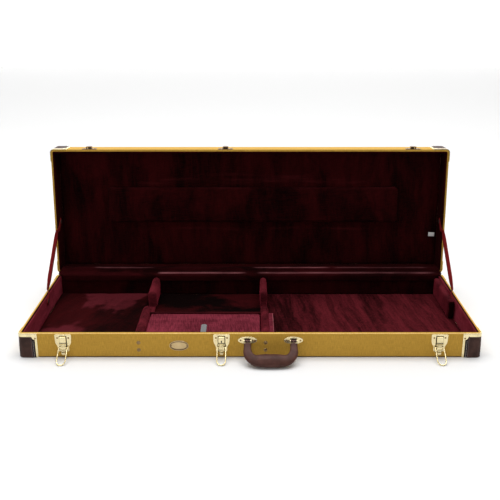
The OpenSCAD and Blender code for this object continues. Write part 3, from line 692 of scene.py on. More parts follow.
plushBoxLid = makePlush("plushBoxLid", 84, (0.050, 0.0055, 0.0100, 1), (0.185, 0.0240, 0.0400, 1), 0.25, 14.0,
                        0.3, 0.2, tilt=0)
plushBoxEdge = makePlush("plushBoxEdge", 0, (0.010, 0.0006, 0.0010, 1), (0.050, 0.0040, 0.0060, 1), 0.1)
plushPad = makePlush("plushPad", 10, (0.018, 0.0014, 0.0024, 1), (0.130, 0.0130, 0.0205, 1), 0.3, 12.0, 0.4,
                     0.3, 0.1, tilt=0)
edgeLeather = makeLeather("edgeLeather", (0.170, 0.105, 0.095, 1), (0.110, 0.065, 0.058, 1), 0.5, spec=0.3)
cornerLeather = makeLeather("cornerLeather", (0.074, 0.034, 0.026, 1), (0.036, 0.018, 0.014, 1), 0.55,
                            spec=0.14)
foldLeather = makeLeather("foldLeather", (0.020, 0.009, 0.011, 1), (0.010, 0.005, 0.006, 1), 0.6, spec=0.2)
handleLeather = makeLeather("handleLeather", (0.088, 0.035, 0.026, 1), (0.054, 0.021, 0.016, 1), 0.42,
                            1400.0, 0.03, 0.04, 0.12)
brass = makeMetal("brass", (0.84, 0.72, 0.42, 1), (0.54, 0.43, 0.22, 1), 0.19)
studBrass = makeMetal("studBrass", (0.34, 0.22, 0.10, 1), (0.16, 0.10, 0.05, 1), 0.28)
# dark brass: aged on the lid's rivets and in the badge's grooves, painted shade on the catch plates
agedBrass = makeMetal("agedBrass", (0.17, 0.10, 0.05, 1), (0.08, 0.045, 0.025, 1), 0.4)
steel = makeMetal("steel", (0.62, 0.60, 0.57, 1), (0.42, 0.40, 0.38, 1), 0.28)
darkSteel = makeMetal("darkSteel", (0.10, 0.06, 0.05, 1), (0.05, 0.03, 0.025, 1), 0.5)
plywood = makePlywood()
strapCloth = makeWebbing("strapWebbing", (0.24, 0.0024, 0.0036, 1), (0.10, 0.001, 0.0015, 1), 0.9 * mm, 0.8,
                         0.0)
tabCloth = makeWebbing("tabRibbon", (0.19, 0.19, 0.19, 1), (0.08, 0.08, 0.085, 1), 0.6 * mm)
tagCloth = makeWebbing("tagCloth", (0.90, 0.90, 0.88, 1), (0.66, 0.66, 0.64, 1), 0.35 * mm)
thread = makeWebbing("stitchThread", (0.62, 0.56, 0.50, 1), (0.36, 0.31, 0.27, 1), 0.3 * mm)
# painted shade: a near-black finish laid into holes, slots and recesses
darkSlot = makeLeather("darkSlot", (0.006, 0.005, 0.005, 1), (0.010, 0.008, 0.008, 1), 0.7)
print("finishes ready")

nodeFinish = {"tray_rivets": studBrass, "lid_rivets": agedBrass, "divider_studs": studBrass,
              "lever_pins": steel, "handle_pins": steel, "hinge_pins": steel, "hinge_tray_rivets": brass,
              "hinge_lid_rivets": brass, "strap_tray_studs": darkSteel, "strap_lid_studs": darkSteel,
              "lock_cylinder": brass, "handle_core": darkSteel}
for board in ("bottom_board", "front_board", "back_board", "left_board", "right_board"):
    nodeFinish["tray_" + board] = plywood
for board in ("top_board", "front_board", "back_board", "left_board", "right_board"):
    nodeFinish["lid_" + board] = plywood
for node, finish in nodeFinish.items():
    kept = frame["nodes"][node]
    if not kept.material_slots:
        kept.data.materials.append(finish)
    for materialSlot in kept.material_slots:
        materialSlot.material = finish


# Tweed shells
shellShape = dict(outerTurn=2.7 * mm, innerTurn=2.0 * mm, baseTurn=1.7 * mm, lip=8.3 * mm, lipDrop=3.6 * mm,
                  overLip=1.2 * mm, skin=0.7 * mm, step=14 * mm, sag=0.12 * mm, sagLength=0.11)


def shellRing():
    outline = dense(rectOutline(2 * halfX, 2 * halfY, cornerR, 9), shellShape["step"])
    nrm = outward(outline)
    # corner arcs have exact normals from their own centre, straight runs keep theirs
    c = np.abs(outline) - np.array([halfX - cornerR, halfY - cornerR])
    inCorner = (c > 1e-7).all(1)
    exact = np.sign(outline) * np.clip(c, 0, None)
    exact = exact / np.maximum(np.linalg.norm(exact, axis=1, keepdims=True), 1e-9)
    return outline, np.where(inCorner[:, None], exact, nrm)


def shellSkin(name, high, flipped):
    # a lip profile carried round the case's outline: inside lip, rim, outer wall, base turn, flat base
    s = shellShape
    outline, nrm = shellRing()
    lip = [(-s["lip"], high - s["lipDrop"])]
    inner = arc(-s["lip"] + s["innerTurn"], high - s["innerTurn"], s["innerTurn"], 180, 90, 6)
    inner = np.concatenate([inner, [(-s["lip"] + s["innerTurn"] + s["overLip"], high)]])
    outer = arc(-s["outerTurn"], high - s["outerTurn"], s["outerTurn"], 90, 0, 7)
    base = arc(-s["baseTurn"], s["baseTurn"], s["baseTurn"], 0, -90, 7)
    down = np.linspace(high - s["outerTurn"], s["baseTurn"] + 1.2 * mm, 10)[1:]
    wallRows = np.stack([0 * down, down], 1)
    rows = np.concatenate([lip, inner, outer, wallRows, base])
    p = carried((outline, nrm), rows)
    # the flat base: rings drawn in towards a line along the middle, closed by one narrow face
    last = p[:, -1]
    core = np.stack([np.clip(last[:, 0], -halfX + halfY, halfX - halfY), 0 * last[:, 0], last[:, 2]], 1)
    share = np.array([0.12, 0.35, 0.6, 0.85, 0.97])
    flat = last[:, None] + (core - last)[:, None] * share[None, :, None]
    p = np.concatenate([p, flat], 1)
    # the cloth lies very slightly unevenly on its boards
    wave = softWaves(p[..., 0], p[..., 2] * 2.0 + p[..., 1], s["sagLength"], 5)
    mask = smoothStep((p[..., 2] - 8 * mm) / (10 * mm)) * smoothStep((high - 4 * mm - p[..., 2]) / (10 * mm))
    p[..., :2] += (wave * mask * s["sag"])[..., None] * nrm[:, None]
    down = runLengths(rows)
    down = np.concatenate([down, down[-1] + share * halfY])
    uv = np.stack(np.broadcast_arrays(runLengths(outline, True)[:, None], down[None]), 2)
    place = upturned(lidHi.z) if flipped else asDrawn
    skin = Skin()
    # plush is turned over the rim's inner edge; on the tray the outer turn gets a painted highlight and the
    # lower turn a painted shade, on the lid the rim gets a painted shade
    marks = np.zeros(p.shape[1] - 1, int)
    rim = len(lip) + len(inner)
    marks[:rim - 1] = 3
    if flipped:
        marks[rim - 1:rim + len(outer)] = 1
    else:
        marks[rim + 1:rim + 4] = 1
        marks[rim + len(outer) + len(wallRows) - 1:][:len(base)] = 2
    ids = skin.grid(place(p), closedU=True, uv=uv, flip=not flipped, mark=np.tile(marks, len(outline)))
    skin.cap(ids[:, -1], flip=not flipped)
    piece = skin.make(name, tweedCloth, tweedShaded if flipped else tweedRubbed, tweedSoiled, plushWall)
    thicken(piece, s["skin"])
    return piece


lidHeight = lidHi.z - lidLo.z
settle(shellSkin("trayTweed", rimZ, False), "tray", "tweed", "tray_cover")
settle(shellSkin("lidTweed", lidHeight, True), "lid", "tweed", "lid_cover")
print("tweed shells ready")


# Plush on walls, floor and under the lid's top
plushShape = dict(step=9 * mm, cornerTurn=2.5 * mm, wave=0.55 * mm, length=75 * mm, edge=1.5 * mm,
                  stand=0.3 * mm, skin=1.2 * mm)


def wallPlush(name, top, bottom, seed, place, flip, finish):
    # a soft profile carried round the inside: over the top edge, down the wall, out under the floor plush
    s = plushShape
    outline = dense(rectOutline(2 * inX, 2 * inY, s["cornerTurn"], 6), s["step"])
    nrm = outward(outline)
    edge = arc(s["edge"], top - s["edge"], s["edge"], 90, 180, 6)
    rows = np.concatenate([[(4.2 * mm, top - 3 * mm), (2.6 * mm, top - 0.25 * mm)], edge])
    down = np.linspace(top - s["edge"], bottom, 12)[1:]
    rows = np.concatenate([rows, np.stack([0 * down, down], 1)])
    p = carried((outline, nrm), rows)
    z = p[..., 2]
    wave = softWaves(runLengths(outline, True)[:-1, None], z * 1.4, s["length"], seed)
    mask = smoothStep((top - z) / (6 * mm)) * smoothStep((z - bottom) / (5 * mm))
    out = (s["stand"] - wave * s["wave"]).clip(-s["stand"], 1.5 * mm) * mask
    p[..., :2] += nrm[:, None] * out[..., None]
    skin = Skin()
    skin.grid(place(p), closedU=True, flip=flip)
    piece = skin.make(name, finish)
    thicken(piece, s["skin"])
    return piece


trayPlush = wallPlush("trayWallPlush", liningHi.z, floorZ - 2 * mm, 11, asDrawn, False, plushWall)
# the two end walls' pile is laid upwards, and they are given a lighter plush than the long walls
trayPlush.data.materials.append(plushSide)
paintFaces(trayPlush, abs(rowsOf(trayPlush.data.polygons, "center")[:, 0]) > inX - 2.5 * mm)
settle(trayPlush, "tray", "plush", "tray_lining")


def slabGrid(step):
    # a grid of points over the whole inside, just clear of the walls
    halfW, halfD = inX - 0.3 * mm, inY - 0.3 * mm
    nx, ny = int(2 * halfW / step) + 2, int(2 * halfD / step) + 2
    return np.meshgrid(np.linspace(-halfW, halfW, nx), np.linspace(-halfD, halfD, ny), indexing="ij")


def closedSlab(name, x, y, top, bottom, finish, place, flip=False):
    # a sheet of foam: an uneven upper surface, a flat lower one and walls between them
    skin = Skin()
    uv = np.stack([x, y], 2)
    upper = skin.grid(place(np.stack([x, y, top], 2)), uv=uv, flip=flip)
    lower = skin.grid(place(np.stack([x, y, np.full_like(x, bottom)], 2)), uv=uv, flip=not flip)
    skin.joinRims(upper, lower, lambda at: np.stack([at[..., 0] + at[..., 1], at[..., 2]], 2), flip)
    return skin.make(name, finish)


floorShape = dict(step=5 * mm, wave=0.75 * mm, length=120 * mm, crease=0.5 * mm, edgeDrop=0.9 * mm,
                  edge=7 * mm)
x, y = slabGrid(floorShape["step"])
rise = floorShape["wave"] * softWaves(x, y, floorShape["length"], 21)
rise += floorShape["crease"] * softWaves(x, y * 0.35, 0.045, 22, slant=0.25)
edgeIn = np.minimum(inX - abs(x), inY - abs(y))
rise = rise - floorShape["edgeDrop"] * (1 - smoothStep(edgeIn / floorShape["edge"]))
floorPlush = closedSlab("floorPlush", x, y, floorZ - 0.6 * mm + rise, floorLo.z + 0.4 * mm, plushLeft,
                        asDrawn)
# each bin's floor is brushed its own way, and the middle bin's floor is also painted darker as painted shade
bins = [sum(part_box(n)[k].x for k in (0, 1)) / 2 for n in ("left_divider", "right_divider")]
for finish in (plushMiddleShade, plushRight):
    floorPlush.data.materials.append(finish)
paintFaces(floorPlush, np.searchsorted(bins, rowsOf(floorPlush.data.polygons, "center")[:, 0]))
settle(floorPlush, "tray", "plush", "floor_pad")

# the lid's plush: walls as in the tray, a soft ceiling with a few long creases round the raised pad
ceiling = lidPadHi.z
# the tray's wall is turned about the lid lining's middle height, which is half of this
lidMiddles = lidLiningLo.z + lidLiningHi.z
lidWallPlush = wallPlush("lidWallPlush", lidLiningHi.z, lidMiddles - ceiling - 2 * mm, 31,
                         upturned(lidMiddles), True, plushLidWall)
lidShape = dict(step=3.4 * mm, wave=0.8 * mm, length=95 * mm, fold=1.5 * mm, foldHalf=3.2 * mm,
                ripple=0.45 * mm, edgeDrop=1.4 * mm, edge=9 * mm)
x, y = slabGrid(lidShape["step"])
padMidX, padMidY = (lidPadLo.x + lidPadHi.x) / 2, (lidPadLo.y + lidPadHi.y) / 2
padHalfX, padHalfY = (lidPadHi.x - lidPadLo.x) / 2, (lidPadHi.y - lidPadLo.y) / 2
fall = lidShape["wave"] * softWaves(x, y, lidShape["length"], 41)
fall += lidShape["ripple"] * softWaves(x * 1.6, y * 0.5, 0.06, 42)
litRidge = 0 * x
# creases: narrow ridges that run beside the pad's long sides and wander a little
for k, (offset, span, seed) in enumerate([(-17, 0.75, 1), (-27, 0.5, 2), (14, 0.9, 3), (-10, 0.9, 4)]):
    line = padMidY + math.copysign(padHalfY, offset) + offset * mm
    line = line + 4 * mm * softWaves(x, 0 * x, 0.22, 50 + seed)
    along = smoothStep((padHalfX * span - abs(x - padMidX)) / (90 * mm))
    along = along * (0.6 + 0.4 * softWaves(x, 0 * x, 0.3, 60 + seed))
    ridge = along * np.exp(-((y - line) / lidShape["foldHalf"]) ** 2)
    fall += lidShape["fold"] * ridge
    litRidge = np.maximum(litRidge, ridge * (0.35 + 0.45 * softWaves(x, 0 * x, 0.11, 65 + seed)))
edgeIn = np.minimum(inX - abs(x), inY - abs(y))
fall = fall - lidShape["edgeDrop"] * (1 - smoothStep(edgeIn / lidShape["edge"]))
lidCeiling = closedSlab("lidCeilingPlush", x, y, ceiling - 0.2 * mm - fall.clip(-1.6 * mm, 2.5 * mm),
                        ceiling + 2.4 * mm, plushLid, openLid, flip=True)
# painted highlight along the creases' ridges, where they face the light
addLitCrest(lidCeiling, np.stack([litRidge, 0 * litRidge]))
settle(lidWallPlush, "lid", "plush", "lid_lining")
settle(lidCeiling, "lid", "plush")
print("wall and floor plush ready")


# Padded pieces, swollen as cloth over foam
clothShape = dict(frames=20, quality=5, pressure=4.0)


def swell(piece, voxel, cap, lo, hi, wave=0.35 * mm, length=45 * mm, seed=1, back=None):
    # closed shape remeshed in even faces, blown up a little as cloth, kept inside lo..hi, then made uneven
    remesh = piece.modifiers.new("remesh", "REMESH")
    remesh.mode, remesh.voxel_size = "VOXEL", voxel
    applyAll(piece)
    mesh = piece.data
    start = rowsOf(mesh.vertices, "co").astype(float)
    moved = start.copy()
    cloth = piece.modifiers.new("cloth", "CLOTH")
    cloth.settings.quality = clothShape["quality"]
    cloth.settings.use_pressure = True
    cloth.settings.uniform_pressure_force = clothShape["pressure"]
    cloth.settings.effector_weights.gravity = 0
    cloth.point_cache.frame_start, cloth.point_cache.frame_end = 1, clothShape["frames"]
    for f in range(1, clothShape["frames"] + 1):
        scene.frame_set(f)
    done = piece.evaluated_get(bpy.context.evaluated_depsgraph_get()).data
    step = rowsOf(done.vertices, "co").astype(float) - start
    piece.modifiers.remove(cloth)
    scene.frame_set(1)
    far = np.linalg.norm(step, axis=1, keepdims=True)
    moved = start + step * np.minimum(1, cap / np.maximum(far, 1e-9))
    mesh.vertices.foreach_set("co", moved.astype(np.float32).ravel())
    mesh.update()
    nrm = rowsOf(mesh.vertex_normals, "vector")
    bump = softWaves(moved[:, 0] + 0.7 * moved[:, 2], moved[:, 1] - 0.6 * moved[:, 2], length, seed)
    moved = moved + nrm * (bump * wave)[:, None]
    moved = np.clip(moved, np.array(lo), np.array(hi))
    if back is not None:
        moved = back(moved)
    mesh.vertices.foreach_set("co", moved.astype(np.float32).ravel())
    mesh.update()
    mesh.shade_smooth()
    rounded = piece.modifiers.new("round", "SUBSURF")
    rounded.levels = rounded.render_levels = 1
    applyAll(piece)


def dress(piece, finish):
    # remeshing empties the finishes, so they are given again
    piece.data.materials.clear()
    piece.data.materials.append(finish)


dividerShape = dict(inset=0.8 * mm, edge=4.5 * mm, foot=1.5 * mm, sill=5 * mm, sillTurn=2 * mm,
                    sillEdge=1 * mm, overlap=6 * mm, voxel=3.2 * mm, swell=1.6 * mm, wave=0.5 * mm,
                    length=38 * mm)


def divider(name, node, seed):
    # two padded walls with round tops and a low strip under the neck slot between them
    lo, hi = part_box(node)
    co = vertsOf(node)
    # the strip's upper face lies between the two walls, so its corners give the slot's ends
    s = dividerShape
    sillYs = co[abs(co[:, 2] - floorZ - s["sill"]) < 1.5 * mm][:, 1]
    spans = [(lo.y, sillYs.min()), (sillYs.max(), hi.y)]
    half, inset, middle = (hi.x - lo.x) / 2, s["inset"], (lo.x + hi.x) / 2
    skin = Skin()
    for y0, y1 in spans:
        w, top = half - inset, hi.z - inset - floorZ
        outline = roundedOutline([(-w, 0, s["foot"]), (w, 0, s["foot"]), (w, top, w * 0.96),
                                  (-w, top, w * 0.96)], 9)
        outline = outline[np.linalg.norm(outline - np.roll(outline, 1, 0), axis=1) > 1e-6]
        pressed(skin, dense(outline, 5 * mm), 0, y1 - y0 - 2 * inset, s["edge"],
                alongYPlace(middle, y1 - inset, floorZ), lower=s["edge"])
    sill = rectOutline(2 * half - 4 * mm, s["sill"], s["sillTurn"], 5, cy=s["sill"] / 2)
    y0, y1 = spans[0][1] - s["overlap"], spans[1][0] + s["overlap"]
    pressed(skin, dense(sill, 5 * mm), 0, y1 - y0, s["sillEdge"], alongYPlace(middle, y1, floorZ),
            lower=s["sillEdge"])
    piece = skin.make(name, plushPad)
    swell(piece, s["voxel"], s["swell"], (lo.x - 0.3 * mm, lo.y, floorZ - 1 * mm),
          (hi.x + 0.3 * mm, hi.y, hi.z + 0.2 * mm), s["wave"], s["length"], seed)
    dress(piece, plushPad)
    settle(piece, "tray", "plush", node)


divider("leftDividerPad", "left_divider", 71)
divider("rightDividerPad", "right_divider", 72)


def blockPad(name, node, body, voxel, inset, turn, cap, finish, seed, wave=0.4 * mm):
    # a rounded block a little smaller than its space, swollen into it
    lo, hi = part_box(node)
    skin = Skin()
    outline = rectOutline(hi.x - lo.x - 2 * inset, hi.y - lo.y - 2 * inset, turn, 6)
    edge = min(turn, (hi.z - lo.z) * 0.42)
    foot = lo.z - 0.5 * mm if body == "tray" else lo.z + inset
    pressed(skin, dense(outline, 6 * mm), foot, hi.z - inset, edge,
            flatPlace((lo.x + hi.x) / 2, (lo.y + hi.y) / 2, 0), lower=edge)
    piece = skin.make(name, finish)
    swell(piece, voxel, cap, (lo.x, lo.y, lo.z - 1 * mm), (hi.x, hi.y, hi.z + 0.3 * mm), wave, 60 * mm, seed)
    dress(piece, finish)
    settle(piece, body, "plush", node)
    return piece


headPad = blockPad("headPad", "head_pad", "tray", 3.4 * mm, 0.9 * mm, 3 * mm, 2.2 * mm, plushHead,
                   81)
# painted highlight where its pile is laid towards the light, at the back's middle and in the front corner,
# with torn edges
lo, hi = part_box("head_pad")
co = rowsOf(headPad.data.vertices, "co")
along, deep = (co[:, 0] - lo.x) / (hi.x - lo.x), (co[:, 1] - lo.y) / (hi.y - lo.y)
torn = 0.14 * softWaves(co[:, 0], co[:, 1], 0.06, 23) + 0.08 * softWaves(co[:, 0], co[:, 1], 0.022, 24)
backPart = 1 - np.hypot((along - 0.62) / 0.36, (deep - 0.92) / 0.30) + torn * 1.6
frontPart = 1 - np.hypot((along - 0.24) / 0.34, (deep - 0.14) / 0.30) + torn * 1.6
lit = np.maximum(smoothStep(backPart / 0.30), smoothStep(frontPart / 0.45))
addLitCrest(headPad, lit)
endBlock = blockPad("endBlockPad", "end_block", "tray", 3.4 * mm, 0.8 * mm, 4 * mm, 1.6 * mm, plushPad,
                    82)
# its face towards the front lies in its own shade
endBlock.data.materials.append(plushLidWall)
paintFaces(endBlock, rowsOf(endBlock.data.polygons, "normal")[:, 1] < -0.6)
blockPad("boxLidPad", "box_lid", "box_lid", 3.0 * mm, 0.5 * mm, 2.6 * mm, 0.8 * mm, plushBoxLid, 83,
         0.25 * mm)


longPadShape = dict(inset=1.5 * mm, turn=14 * mm, edge=1.0 * mm, lower=6.0 * mm, side=16 * mm,
                    wrinkle=1.1 * mm, wave=0.5 * mm, voxel=3.6 * mm, swell=3.0 * mm)


def lidPadPiece():
    # the raised pad under the lid's top: a rounded slab swollen towards the case, its long sides wrinkled
    s = longPadShape
    skin = Skin()
    inset = s["inset"]
    outline = rectOutline(2 * (padHalfX - inset), 2 * (padHalfY - inset), s["turn"], 9)
    pressed(skin, dense(outline, 6 * mm), lidPadLo.z + inset, lidPadHi.z + 1.5 * mm, s["edge"],
            flatPlace(padMidX, padMidY, 0), lower=s["lower"])
    piece = skin.make("lidPad", plushLid)

    def wrinkle(q):
        side = (abs(q[:, 1] - padMidY) - padHalfY + s["side"]) / s["side"]
        amount = smoothStep(side) * softWaves(q[:, 0], q[:, 1] * 0.4, 0.038, 91, slant=0.15)
        rise = s["wrinkle"] * amount + s["wave"] * softWaves(q[:, 0], q[:, 1], 0.09, 92)
        q = q.copy()
        q[:, 2] += np.where(q[:, 2] < (lidPadLo.z + lidPadHi.z) / 2, rise, 0)
        q[:, 2] = np.clip(q[:, 2], lidPadLo.z - 0.5 * mm, None)
        return openLid(q)

    swell(piece, s["voxel"], s["swell"], lidPadLo, (lidPadHi.x, lidPadHi.y, lidPadHi.z + 2 * mm), 0.4 * mm,
          70 * mm, 84, wrinkle)
    # its upper long edge and the wrinkles beside it get a painted highlight where they catch the light
    co = rowsOf(piece.data.vertices, "co")
    high = openLid(np.array([0, lidPadLo.y, lidPadLo.z]))[2]
    edge = np.exp(-((high - co[:, 2] - 3.5 * mm) / (4 * mm)) ** 2)
    uneven = 1 + 0.3 * softWaves(co[:, 0], co[:, 2], 0.03, 94)
    wander = 0.5 + 0.5 * softWaves(co[:, 0], 0 * co[:, 0], 0.16, 93) * uneven
    addLitCrest(piece, edge * (0.25 + 0.75 * wander))
    dress(piece, plushLidPad)
    settle(piece, "lid", "plush", "lid_pad")


lidPadPiece()
print("swollen pads ready")


# Accessory box: side board, back board and rest
def sideBoardPiece():
    # a plush-wrapped board with one round corner, and a welt along the edge of its outer face
    lo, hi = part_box("side_board")
    w, turn = hi.x - lo.x, 12 * mm
    top = hi.z - floorZ
    outline = roundedOutline([(lo.y, 0, 1 * mm), (hi.y, 0, 1 * mm), (hi.y, top, turn),
                              (lo.y, top, 1.5 * mm)], 10)
    skin = Skin()
    pressed(skin, dense(outline, 5 * mm), 0.3 * mm, w - 0.3 * mm, 2.4 * mm, alongXPlace(lo.x, 0, floorZ),
            lower=2.0 * mm)
    run = arc(hi.y - turn, hi.z - turn, turn - 0.9 * mm, 0, 90, 12)
    path = np.concatenate([[(hi.y - 0.9 * mm, floorZ)], run, [(lo.y + 1 * mm, hi.z - 0.9 * mm)]])
    path = np.concatenate([np.full((len(path), 1), hi.x - 1.0 * mm), path], 1)
    tube(skin, path, 0.85 * mm, 8, mark=1, across=(1, 0, 0))
    piece = skin.make("sideBoardPad", plushBox, plushWelt)
    settle(piece, "tray", "plush", "side_board")


plushWelt = makePlush("plushWelt", 0, (0.20, 0.05, 0.06, 1), (0.36, 0.12, 0.13, 1))
sideBoardPiece()


def boardPiece(name, node, finish, turn):
    lo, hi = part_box(node)
    skin = Skin()
    w, h = hi.y - lo.y, hi.z - lo.z
    outline = rectOutline(w, h, turn, 6, (lo.y + hi.y) / 2, (lo.z + hi.z) / 2)
    pressed(skin, dense(outline, 6 * mm), lo.x - 0.3 * mm, hi.x + 0.3 * mm, 0.8 * mm, alongXPlace(0, 0, 0),
            lower=0.8 * mm)
    piece = skin.make(name, finish)
    settle(piece, "tray", "plush", node)


boardPiece("boxBackPlush", "box_back_board", plushBoxEdge, 2.2 * mm)
boardPiece("boxRestPlush", "box_lid_rest", plushWall, 1.5 * mm)


# Cloth strips
def ribbon(skin, line, across, width, thick, columns=5, mark=0):
    # a flat strip: a centre line with points spread to both sides, closed round as a thin loop
    p = np.asarray(line, float)
    across = np.broadcast_to(np.asarray(across, float), p.shape)
    up = np.cross(headings(p), across)
    up /= np.linalg.norm(up, axis=1, keepdims=True)
    s = np.linspace(-width / 2, width / 2, columns)
    lower = p[:, None] + s[None, :, None] * across[:, None] - up[:, None] * thick / 2
    upper = p[:, None] + s[None, ::-1, None] * across[:, None] + up[:, None] * thick / 2
    loop = np.concatenate([lower, upper], 1)
    ids = skin.grid(loop, closedV=True, flip=True, mark=mark)
    skin.cap(ids[0], flip=True, mark=mark)
    skin.cap(ids[-1], flip=False, mark=mark)


strapShape = dict(points=120, thick=0.9 * mm, twist=math.radians(34), bulge=5.5 * mm, hemPoints=12,
                  hemThick=0.7 * mm, hemOff=0.5 * mm, hems=30 * mm)


def stayStrap(name, side):
    # webbing between the two studs on one end of the case, straight when the lid stands open
    s = strapShape
    co = vertsOf("stay_straps")
    co = co[np.sign(co[:, 0]) == side]
    yz = co[:, 1:]
    mid = yz.mean(0)
    _, _, axes = np.linalg.svd(yz - mid, full_matrices=False)
    d = axes[0] if axes[0][1] > 0 else -axes[0]
    across = np.array([-d[1], d[0]])
    along, off = (yz - mid) @ d, (yz - mid) @ across
    width, long = np.ptp(off), np.ptp(along)
    centre = mid + across * (off.min() + off.max()) / 2
    x = np.full((s["points"], 1), (co[:, 0].min() + co[:, 0].max()) / 2)
    line = np.concatenate([x, centre + d * np.linspace(along.min(), along.max(), s["points"])[:, None]], 1)
    # between the rims the webbing is turned by part of a quarter, and it runs a little outside them
    share = np.linspace(0, 1, s["points"])
    twist = s["twist"] * smoothStep((share - 0.12) / 0.2) * smoothStep((0.93 - share) / 0.2)
    flat = np.array([0, across[0], across[1]])
    shut = hinge.z + (line[:, 1] - hinge.y) * openSin + (line[:, 2] - hinge.z) * openCos
    pastTray = smoothStep((line[:, 2] - rimZ - 0.5 * mm) / (6 * mm))
    line[:, 0] += side * s["bulge"] * pastTray * smoothStep((lidLo.z - 0.5 * mm - shut) / (6 * mm))
    skin = Skin()
    turned = flat * np.cos(twist)[:, None] + np.array([side, 0, 0]) * np.sin(twist)[:, None]
    ribbon(skin, line, turned, width, s["thick"])
    # the turned-over hem at each end, a little thicker
    for part in (slice(0, s["hemPoints"]), slice(-s["hemPoints"], None)):
        ribbon(skin, line[part] - np.array([side * s["hemOff"], 0, 0]), flat, width * 0.96, s["hemThick"])
    piece = skin.make(name, strapCloth)
    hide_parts("stay_straps")
    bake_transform(piece)


stayStrap("leftStayStrap", -1)
stayStrap("rightStayStrap", 1)


def hingeFlap():
    # a cloth strip whose cross-section follows the tray's back wall, swells over the rim, sags, swells over
    # the lid's rim and lies on the lid's back lining; the swells grow and fade along the case
    lo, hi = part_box("hinge_flap")
    lowLip = openLid(np.array([0, inY, lidLiningLo.z]))
    keys = np.array([(inY - 1.4 * mm, lo.z), (inY - 1.5 * mm, rimZ - 6 * mm), (inY - 1.0 * mm, rimZ + 2 * mm),
                     (inY + 2.5 * mm, rimZ + 4.6 * mm), (inY + 7 * mm, rimZ + 5.4 * mm),
                     (lowLip[1] - 5 * mm, rimZ + 8.5 * mm), (lowLip[1] - 1.5 * mm, lowLip[2] + 1.2 * mm),
                     (lowLip[1] + 3 * mm, lowLip[2] + 2.2 * mm), (lowLip[1] + 9 * mm, lowLip[2] + 1.4 * mm),
                     (hi.y - 1 * mm, openLid(np.array([0, inY, lidLiningLo.z + 20 * mm]))[2] + 1.6 * mm)])
    s = runLengths(keys)
    fine = np.linspace(0, s[-1], 46)
    line = eased(spaced(keys, s, fine), 4)
    x = np.linspace(lo.x, hi.x, 260)
    t = headings(line)
    nrm = np.stack([-t[:, 1], t[:, 0]], 1)       # towards the room inside
    share = fine / s[-1]
    rimSwell = np.exp(-((share - 0.47) / 0.07) ** 2)
    lipSwell = np.exp(-((share - 0.74) / 0.06) ** 2)
    strength = 0.5 + 0.5 * softWaves(x, 0 * x, 0.33, 101)
    strength2 = 0.5 + 0.5 * softWaves(x, 0 * x, 0.27, 102)
    push = 1.2 * mm * strength[:, None] * rimSwell + 1.4 * mm * strength2[:, None] * lipSwell
    push = push + 0.35 * mm * softWaves(x[:, None], fine[None] * 0.8, 0.05, 103)
    push[:, :3] *= 0.2
    p = line[None] + nrm[None] * push[..., None]
    # over the gap between tray and lid the strip is cut a little longer, so it closes the corners
    above = line[:, 1] - rimZ
    gapPart = eased((above > 1.5 * mm) * (9 * mm + 6 * mm * (abs(above - 6 * mm) < 4 * mm)), 3)
    reachX = x[:, None] * (1 + gapPart[None] / hi.x)
    top = np.concatenate([reachX[..., None], p], 2)
    lower = np.concatenate([top[..., :1], p - nrm[None] * 0.9 * mm], 2)
    uv = np.stack(np.broadcast_arrays(x[:, None], fine[None]), 2)
    loop = np.concatenate([top, lower[:, ::-1]], 1)
    skin = Skin()
    loopUv = np.concatenate([uv, uv[:, ::-1], uv[:, :1]], 1)
    ids = skin.grid(loop, closedV=True, uv=loopUv)
    skin.cap(ids[0])
    skin.cap(ids[-1], flip=True)
    piece = skin.make("hingeFlap", plushFlap)
    # the two swells get a painted highlight along parts of the case: (where across the strip, half width,
    # runs)
    ridges = [(s[4] / s[-1], 0.040, [(-0.47, -0.01, 1.0), (0.03, 0.94, 0.55)]),
              (0.74, 0.045, [(-0.80, -0.48, 0.7), (0.01, 0.42, 0.75), (0.42, 0.92, 0.35)])]
    crest = np.zeros(push.shape)
    for at, half, runs in ridges:
        for start, end, strength in runs:
            run = smoothStep((x / halfX - start) / 0.03) * smoothStep((end - x / halfX) / 0.05)
            run = run * strength * (0.8 + 0.3 * softWaves(x, 0 * x, 0.045, 104))
            crest = np.maximum(crest, run[:, None] * np.exp(-((share[None] - at) / half) ** 2))
    addLitCrest(piece, np.concatenate([crest, crest[:, ::-1] * 0], 1))
    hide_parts("hinge_flap")
    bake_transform(piece)


plushFlap = makePlush("plushFlap", 90, (0.004, 0.0002, 0.0002, 1), (0.030, 0.0020, 0.0030, 1), 0.03, 9.0,
                      crest=(0.30, 0.105, 0.115, 1))
hingeFlap()


def pullTab():
    # ribbon with a round end, lying on the box lid
    lo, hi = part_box("pull_tab")
    w, r = hi.x - lo.x, (hi.x - lo.x) / 2
    outline = np.concatenate([[(-r, 0), (r, 0)], arc(0, hi.y - lo.y - r, r, 0, 180, 13)])
    skin = Skin()
    pressed(skin, dense(outline, 2.5 * mm), 0.1 * mm, hi.z - lo.z, 0.3 * mm,
            flatPlace((lo.x + hi.x) / 2, lo.y, lo.z))
    piece = skin.make("pullTab", tabCloth)
    settle(piece, "box_lid", "tab_ribbon", "pull_tab")


pullTab()


